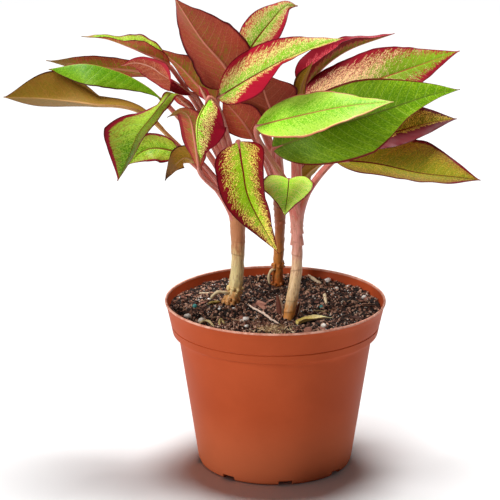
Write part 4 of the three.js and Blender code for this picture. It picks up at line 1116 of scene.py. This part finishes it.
def add_knobs(body, cane, key, brown, rng):
    """The stubs of roots that never grew, in rings round a cane."""
    axis = Curve(cane["axis"])
    for level, count, size in cane[key]:
        share = (level - cane["axis"][0][2]) / axis.length
        centre = axis.at(share)[0]
        reach = value_along(cane["radii"], share) + 0.25 * size
        first = rng.random() * 2 * math.pi
        for k in range(count):
            turn = first + 2 * math.pi * (k + 0.3 * rng.random()) / count
            spot = centre + [reach * math.cos(turn), reach * math.sin(turn), rng.normal(0, 0.4)]
            lump = lump_points(rng, size * rng.uniform(0.7, 1.15), 0.25)
            body.add(lump + spot, LUMP_FACES, place=lump + [0, level, 3],
                     share=[share, 0, brown])


def make_stem(name, rng):
    body = Body("place", "share")
    add_cane(body, name, rng)
    for number, leaf in enumerate(LEAVES):
        if leaf["stem"] == name:
            add_stalk(body, leaf, 11.0 * number)
    add_knobs(body, CANES[name], "knobs", 0.0, rng)
    add_knobs(body, CANES[name], "flare", 0.6, rng)
    for root in CANES[name]["roots"]:
        points, faces = thread_mesh(root, 9)
        body.add(points, faces, place=points, share=[2.0, 0.0, 0.0])
    body.piece(f"{name}_cane", stem_material(name), "cane", [f"stem_{name}"], sharp_angle=70)


# ------------------------------------------------------------------ loose matter


def lump_shape():
    """The points and faces of a small ball that lumps and crumbs are drawn from."""
    ball = bmesh.new()
    bmesh.ops.create_icosphere(ball, subdivisions=2, radius=1.0)
    points = np.array([v.co for v in ball.verts])
    faces = [[v.index for v in f.verts] for f in ball.faces]
    ball.free()
    return points, faces


LUMP_POINTS, LUMP_FACES = lump_shape()
SOIL_NOISE = LatticeNoise(5)


def lump_points(rng, radius, roughness):
    swell = 1 + roughness * (rng.random(len(LUMP_POINTS)) - 0.5)
    return LUMP_POINTS * swell[:, None] * radius


def thread_mesh(thread, sides):
    """A thin root or stick along a smooth line, tapering to both ends."""
    line = Curve(thread["path"])
    t = np.linspace(0, 1, max(12, round(line.length / 1.2)))
    centres = line.at(t)
    ends = np.minimum(1, np.minimum(t, 1 - t) * 9 + 0.25)
    radii = thread["radius"] * ends * (1 + 0.18 * np.sin(17 * t + 3 * thread["path"][0][0]))
    flat = abs(centres[-1] - centres[0])[2] < 8
    frames = ring_frames(centres, (0, 0, 1) if flat else (1, 0, 0))
    return tube_points(centres, radii, sides, frames), tube_faces(len(centres), sides)


def spot_on_soil(rng, reach):
    """A random spot on the soil, up to a share of its radius."""
    far = SOIL["radius"] * math.sqrt(rng.random()) * reach
    turn = rng.random() * 2 * math.pi
    return far * math.cos(turn), far * math.sin(turn)


def scatter(name, kind, rng):
    """Crumbs of one kind over the soil, sunk a little, clear of canes, root and bract."""
    body = Body("tint")
    placed = 0
    while placed < kind["count"]:
        if "centre" in kind:
            x, y = rng.normal(kind["centre"], kind["spread"])
        else:
            x, y = spot_on_soil(rng, 0.985)
        size = rng.uniform(*kind["size"]) * (1 + rng.random() ** 6 * kind.get("large", 0))
        if math.hypot(x, y) + size > SOIL["radius"] or blocked(x, y, size):
            continue
        shape = lump_points(rng, 1.0, kind["roughness"]) * size * np.array(kind["form"])
        turned = shape @ random_turn(rng, kind.get("lying", 0.0))
        z = float(soil_height(x, y)) + size * kind["form"][2] * kind["lift"]
        body.add(turned + [x, y, z], LUMP_FACES, tint=[rng.random()])
        placed += 1
    material = grain_material(name, kind["colours"], kind["gloss"])
    body.piece(name, material, "potting_mix", smooth=False)


def random_turn(rng, lying):
    """A rotation matrix: any way up, or lying near flat."""
    spin, tilt, roll = rng.random() * 2 * math.pi, rng.normal(0, 0.25), rng.normal(0, 0.25)
    if not lying:
        tilt, roll = rng.random() * math.pi, rng.random() * 2 * math.pi
    cz, sz, cx, sx, cy, sy = (f(a) for a in (spin, tilt, roll) for f in (math.cos, math.sin))
    about_z = np.array([[cz, -sz, 0], [sz, cz, 0], [0, 0, 1]])
    about_x = np.array([[1, 0, 0], [0, cx, -sx], [0, sx, cx]])
    about_y = np.array([[cy, 0, sy], [0, 1, 0], [-sy, 0, cy]])
    return (about_z @ about_x @ about_y).T


def blocked(x, y, size):
    """Whether a crumb would stand in a cane or on the loose root and bract."""
    for cane in CANES.values():
        if math.hypot(x - cane["axis"][0][0], y - cane["axis"][0][1]) < cane["radii"][0] + 0.5:
            return True
    for line in (BRACT["rib"], ROOT["path"]):
        if size > 0.6 and gap_to(x, y, line) < SOIL["litter_reach"] - 1:
            return True
    return False


def over_soil(path):
    """A path whose heights are given above the soil, as heights above the floor."""
    return [[x, y, SOIL["level"] + height] for x, y, height in path]


def add_threads(name, threads, colours, sides=7):
    body = Body("tint")
    for thread in threads:
        points, faces = thread_mesh({**thread, "path": over_soil(thread["path"])}, sides)
        body.add(points, faces, tint=[thread["tint"]])
    body.piece(name, grain_material(name, colours, 0.8), "potting_mix")


def loose_fibres(rng):
    """Short bits of root and stick that lie over the mix, each one bent a little."""
    threads = []
    while len(threads) < LITTER["fibres"]:
        middle_x, middle_y = spot_on_soil(rng, 0.9)
        heading = rng.random() * 2 * math.pi
        length, bend = rng.uniform(5, 16), rng.normal(0, 0.35)
        path = []
        for k in range(4):
            step, turn = length * (k / 3 - 0.5), heading + bend * k / 3
            x, y = middle_x + step * math.cos(turn), middle_y + step * math.sin(turn)
            height = float(soil_height(x, y)) - SOIL["level"]
            path.append([x, y, height + 0.7 + 0.5 * rng.random()])
        ends = max(math.hypot(p[0], p[1]) for p in path)
        if ends < SOIL["radius"] - 1 and not any(blocked(p[0], p[1], 1) for p in path):
            threads.append(new_thread(path, rng.uniform(0.22, 0.5), rng.random()))
    return threads


# ------------------------------------------------------------------ soil


def soil_height(x, y):
    """The height of the bed of potting mix, lower under the loose root and bract."""
    x, y = np.asarray(x, float), np.asarray(y, float)
    relief = sum(height * (SOIL_NOISE.at(x / size + right, y / size + back) - 0.5)
                 for size, height, right, back in SOIL["layers"])
    near = np.minimum(gap_to(x, y, BRACT["rib"]), gap_to(x, y, ROOT["path"]))
    lowered = 1 - smoothstep(near, SOIL["litter_reach"] - 1.5, SOIL["litter_reach"] + 1.5)
    relief = SOIL["relief"] * relief * (1 - 0.7 * lowered)
    return SOIL["level"] + relief - SOIL["litter_depth"] * lowered


def gap_to(x, y, line):
    """How far spots are over the ground from a line of points."""
    least = np.full(np.shape(x), 1e9)
    for a, b in zip(line, line[1:]):
        (ax, ay), (bx, by) = a[:2], b[:2]
        w = ((x - ax) * (bx - ax) + (y - ay) * (by - ay)) / ((bx - ax) ** 2 + (by - ay) ** 2)
        w = np.clip(w, 0, 1)
        least = np.minimum(least, np.hypot(x - ax - w * (bx - ax), y - ay - w * (by - ay)))
    return least


def make_soil():
    """The bed of potting mix, which fills the pot down to its floor."""
    rings, sides = SOIL["rings"], SOIL["sides"]
    turns = ring(sides)
    wall = sorted(pot_inside(), key=lambda spot: spot[1])

    def inner(z):
        return np.interp(z, [p[1] for p in wall], [p[0] for p in wall]) - SOIL["wall_gap"]

    edge = inner(SOIL["level"] - 1.5)
    rows = []
    for radius in edge * np.arange(1, rings + 1) / rings:
        x, y = radius * np.cos(turns), radius * np.sin(turns)
        rows.append(np.stack([x, y, soil_height(x, y)], axis=-1))
    levels = sorted({z for _, z in wall if z < SOIL["level"] - 5}, reverse=True)
    bottom = POT["floor"] + SOIL["floor_gap"]
    for z in [*levels[:-1], bottom]:
        x, y = inner(z) * np.cos(turns), inner(z) * np.sin(turns)
        rows.append(np.stack([x, y, np.full(sides, z)], axis=-1))
    points = np.concatenate([*rows, [[0, 0, float(soil_height(0, 0))], [0, 0, bottom]]])
    faces = [face[::-1] for face in tube_faces(len(rows), sides)]
    colours = ("#120c09", "#251812", "#3b281f")
    material = grain_material("soil_bed", colours, 0.95, 500.0, 0.9)
    bed = make_piece("soil_bed", points, faces, material, "potting_mix", ["soil"],
                     {"tint": np.full(len(points), 0.4)})
    for cane in CANES.values():
        hole = cane["radii"][0] + 1.2
        cut_hole(bed, (cane["axis"][0][0], cane["axis"][0][1], STEM["foot"] + 30), hole, 30.5)


def cut_hole(piece, centre, radius, half_depth):
    drill = bmesh.new()
    bmesh.ops.create_cone(drill, cap_ends=True, segments=32, radius1=radius * MM,
                          radius2=radius * MM, depth=2 * half_depth * MM)
    bmesh.ops.translate(drill, verts=drill.verts, vec=Vector(centre) * MM)
    subtract(piece, drill)


def subtract(piece, shape):
    """Cuts a bmesh out of a piece and frees it."""
    mesh = bpy.data.meshes.new("cutter")
    shape.to_mesh(mesh)
    shape.free()
    cutter = bpy.data.objects.new("cutter", mesh)
    bpy.context.scene.collection.objects.link(cutter)
    modifier = piece.modifiers.new("cut", "BOOLEAN")
    modifier.operation = "DIFFERENCE"
    modifier.solver = "EXACT"
    modifier.object = cutter
    graph = bpy.context.evaluated_depsgraph_get()
    result = bpy.data.meshes.new_from_object(piece.evaluated_get(graph))
    piece.modifiers.clear()
    old = piece.data
    piece.data = result
    bpy.data.meshes.remove(old)
    bpy.data.objects.remove(cutter)
    bpy.data.meshes.remove(mesh)


# ------------------------------------------------------------------ pot


def pot_outside():
    foot, rim = POT["base_radius"], POT["rim_radius"]
    band_foot = POT["height"] - POT["band_height"]
    band = rim - POT["band_taper"]
    top = POT["height"]
    return [(foot - 2.4, 0), (foot - 1.4, 0), (foot - 0.2, 0.25), (foot + 0.6, 0.9),
            (foot + 1.0, 1.8), (foot + 1.9, 4.5), (band - 5.1, band_foot - 8),
            (band - 5.0, band_foot - 5.4), (band - 4.6, band_foot - 3.4),
            (band - 4.0, band_foot - 2.0), (band - 3.2, band_foot - 1.2),
            (band - 2.0, band_foot - 0.7), (band - 0.7, band_foot - 0.4),
            (band - 0.2, band_foot - 0.2), (band, band_foot + 0.4), (band + 0.12, band_foot + 1.0),
            (band + 0.95, band_foot + 5.2), (band + 0.55, band_foot + 5.5),
            (band + 0.5, band_foot + 5.9), (band + 1.15, band_foot + 6.3),
            (rim - 0.9, top - 2.3), (rim - 0.45, top - 1.8), (rim - 0.05, top - 1.4),
            (rim, top - 0.8), (rim - 0.15, top - 0.3), (rim - 0.5, top)]


def pot_inside():
    foot, rim = POT["base_radius"], POT["rim_radius"]
    band_foot = POT["height"] - POT["band_height"]
    band = rim - POT["band_taper"] - POT["wall"]
    return [(rim - 1.1, POT["height"]), (rim - 1.4, POT["height"] - 0.3),
            (rim - POT["wall"], POT["height"] - 0.9), (band + 0.3, band_foot + 2),
            (band - 2.6, band_foot + 0.6), (band - 4.6, band_foot - 2.4),
            (band - 5.1, band_foot - 8), (foot + 1.9 - POT["wall"], POT["floor"] + 3),
            (foot - 1.5, POT["floor"])]


def finely(profile, longest):
    """The same line of radius and height with no step longer than given."""
    fine = [profile[0]]
    for start, end in zip(profile, profile[1:]):
        steps = math.ceil(math.dist(start, end) / longest)
        fine += [(start[0] + (end[0] - start[0]) * k / steps,
                  start[1] + (end[1] - start[1]) * k / steps) for k in range(1, steps + 1)]
    return fine


def make_pot():
    profile = finely([*pot_outside(), *pot_inside()], 6)
    turns = ring(POT["sides"])
    rows = [np.stack([r * np.cos(turns), r * np.sin(turns), np.full(len(turns), z)], axis=-1)
            for r, z in profile]
    points = np.concatenate([*rows, [[0, 0, 0]], [[0, 0, POT["floor"]]]])
    faces = tube_faces(len(rows), POT["sides"])
    pot = make_piece("pot_shell", points, faces, pot_material(), "pot", ["pot"])
    shape = bmesh.new()
    for k in range(POT["notches"]):
        add_notch(shape, math.radians(360 * k / POT["notches"] + POT["notch_turn"]))
    subtract(pot, shape)
    pot.data.set_sharp_from_angle(angle=math.radians(32))


def add_notch(shape, turn):
    """The wedge of one drain notch, as part of the shape that is cut from the pot."""
    made = bmesh.ops.create_cube(shape, size=1.0)["verts"]
    for vert in made:
        across = POT["notch_width"] * (1 if vert.co.z < 0 else 0.86)
        vert.co = Vector((POT["base_radius"] + 1 + 2 * POT["notch_depth"] * vert.co.x,
                          across * vert.co.y, 2 * POT["notch_height"] * vert.co.z)) * MM
    bmesh.ops.rotate(shape, verts=made, matrix=Matrix.Rotation(turn, 3, "Z"))


# ------------------------------------------------------------------ litter


def make_bract(slot):
    """The dry yellow bract: a blade without leaf colours."""
    upper, lower, _ = blade_grid(BRACT, 71)
    tint = np.tile(np.linspace(0.4, 0.9, upper.shape[0])[:, None], (2, upper.shape[1])).ravel()
    colours = ("#c09848", "#ecd67c", "#fbf2b8")
    make_piece("bract", sheet_points(upper, lower), sheet_faces(*upper.shape[:2]),
               grain_material("dry_bract", colours, 0.65, 900.0, 0.3), slot,
               ["dry_bract"], {"tint": tint})


def make_root(slot):
    t = np.linspace(0, 1, ROOT["rows"])
    centres = Curve(ROOT["path"]).at(t)
    centres[:, 0] += 0.25 * np.sin(t * 31) + 0.18 * np.sin(t * 53 + 1)
    radii = value_along(ROOT["radii"], t) * (1 + 0.15 * np.sin(t * 44))
    frames = ring_frames(centres, (0, 0, 1))
    points = tube_points(centres, radii, ROOT["sides"], frames)
    colours = ("#c89c84", "#f4d6c0", "#fdeadb")
    make_piece("bare_root", points, tube_faces(len(centres), ROOT["sides"]),
               grain_material("dry_root", colours, 0.75, 800.0, 0.5), slot, ["dry_root"],
               {"tint": np.full(len(points), 0.6)})


def make_prills():
    """Grains of coated fertiliser."""
    body = Body("tint")
    for x, y, radius in LITTER["prills"]:
        z = float(soil_height(x, y)) + radius * 0.7
        body.add(LUMP_POINTS * radius + [x, y, z], LUMP_FACES, tint=[0.5])
    colours = ("#2c6f6c", "#3f9490", "#5fb0a8")
    body.piece("prills", grain_material("prills", colours, 0.35, 300.0, 0.1), "potting_mix")


def make_lumps(rng):
    """The larger white lumps that catch the eye, each in its own place."""
    body = Body("tint")
    for x, y, radius in LITTER["lumps"]:
        z = float(soil_height(x, y)) + radius * 0.5
        shape = lump_points(rng, radius, 0.45) * [1.1, 1.0, 0.85]
        body.add(shape + [x, y, z], LUMP_FACES, tint=[rng.uniform(0.5, 1)])
    colours = ("#b9ab9c", "#e4dccf", "#faf6f0")
    body.piece("white_lumps", grain_material("white_lumps", colours, 0.85), "potting_mix")


def make_sheath(number, scrap):
    """A dead sheath that stands beside the right cane, with its pale torn edge."""
    rows, columns = 18, 9
    t, s = np.linspace(0, 1, rows), np.linspace(-1, 1, columns)
    line = Curve(scrap["line"]).at(t)
    reach = scrap["half_width"] * (0.35 + 0.65 * np.sin(np.pi * (0.25 + 0.7 * t)))
    x = line[:, 0:1] + reach[:, None] * np.sin(s * 1.1)[None, :]
    y = line[:, 1:2] + reach[:, None] * (1 - np.cos(s * 1.3))[None, :]
    z = np.broadcast_to(line[:, 2:3] + 0.6 * np.sin(9 * s)[None, :] * t[:, None] ** 3, x.shape)
    front = np.stack([x, y, z], axis=-1)
    points = sheet_points(front, front + [0, 0.5, 0])
    tint = np.tile(np.where(s > 0.45, 1.0, 0.2)[None, :], (2 * rows, 1)).ravel()
    colours = ("#6e3826", "#96553a", "#f0e4d2")
    faces = [face[::-1] for face in sheet_faces(rows, columns)]
    name = f"torn_sheath_{number}"
    make_piece(name, points, faces, grain_material(name, colours, 0.7, 800.0, 0.4),
               "potting_mix", attributes={"tint": tint})


# ------------------------------------------------------------------ camera, floor and light


def make_camera():
    """The photograph's camera, turned so that the spot on the axis falls on its own pixel."""
    tilt = math.radians(PHOTO["elevation"])
    middle = PHOTO["size"] / 2
    aside = (middle - PHOTO["axis_pixel"][0]) / PHOTO["focal"]
    above = (PHOTO["axis_pixel"][1] - middle) / PHOTO["focal"]
    forward = Vector((0, math.cos(tilt), -math.sin(tilt)))
    up = Vector((0, math.sin(tilt), math.cos(tilt)))
    camera = bpy.data.objects.new("camera", bpy.data.cameras.new("camera"))
    bpy.context.scene.collection.objects.link(camera)
    spot = Vector((0, 0, PHOTO["axis_height"]))
    camera.location = (spot - forward * PHOTO["distance"]) * MM
    aim = forward + Vector((aside, 0, 0)) + up * above
    camera.rotation_euler = aim.to_track_quat("-Z", "Y").to_euler()
    camera.data.sensor_width = PHOTO["sensor"]
    camera.data.lens = PHOTO["sensor"] * PHOTO["focal"] / PHOTO["size"]
    camera.data.clip_start = 0.1
    camera.data.clip_end = 30
    bpy.context.scene.camera = camera


def make_lamp(name, lamp):
    light = bpy.data.objects.new(name, bpy.data.lights.new(name, "AREA"))
    bpy.context.scene.collection.objects.link(light)
    light.data.shape = "DISK"
    light.data.size = lamp["size"]
    light.data.energy = lamp["power"]
    light.data.color = lamp["colour"]
    light.location = lamp["at"]
    aim = Vector(lamp["aim"]) - Vector(lamp["at"])
    light.rotation_euler = aim.to_track_quat("-Z", "Y").to_euler()


def keep_off_floor(lamp_name):
    """Shines a lamp on the plant alone, so that the floor has only the shadow from above."""
    lit = bpy.data.collections.new(f"lit_by_{lamp_name}")
    for piece in bpy.context.scene.objects:
        if piece.type == "MESH" and piece.name != "floor":
            lit.objects.link(piece)
    bpy.data.objects[lamp_name].light_linking.receiver_collection = lit


def make_surroundings():
    scene = bpy.context.scene
    scene.view_settings.view_transform = "Standard"
    world = bpy.data.worlds.new("studio")
    world.use_nodes = True
    world.node_tree.nodes["Background"].inputs["Color"].default_value = (1, 1, 1, 1)
    world.node_tree.nodes["Background"].inputs["Strength"].default_value = STUDIO["fill"]
    scene.world = world
    for name, lamp in STUDIO["lamps"].items():
        make_lamp(name, lamp)
    mesh = bpy.data.meshes.new("floor")
    reach = STUDIO["floor_reach"]
    mesh.from_pydata([(-reach, -reach, 0), (reach, -reach, 0), (reach, reach, 0),
                      (-reach, reach, 0)], [], [(0, 1, 2, 3)])
    floor = bpy.data.objects.new("floor", mesh)
    scene.collection.objects.link(floor)
    mesh.materials.append(floor_material())


# ------------------------------------------------------------------ making it

slot_of = {row["node"]: row["material_slot"] for row in frame["record"]["subparts"]}
draws = np.random.default_rng(7)

make_camera()
make_surroundings()
make_pot()
make_soil()
for cane_name in CANES:
    make_stem(cane_name, draws)
for leaf_number, each in enumerate(LEAVES):
    make_leaf(each, leaf_number, slot_of[each["name"]])
for kind_name, grain_kind in GRAINS.items():
    scatter(kind_name, grain_kind, draws)
add_threads("soil_fibres", loose_fibres(draws), ("#3a241a", "#7d5238", "#b58f6e"))
add_threads("pale_roots", LITTER["roots"], ("#a89048", "#d2bc84", "#ecd6b4"), 9)
make_prills()
make_lumps(draws)
for sheath_number, sheath in enumerate(LITTER["sheaths"]):
    make_sheath(sheath_number, sheath)
make_bract(slot_of["dry_bract"])
make_root(slot_of["dry_root"])
keep_off_floor("key")
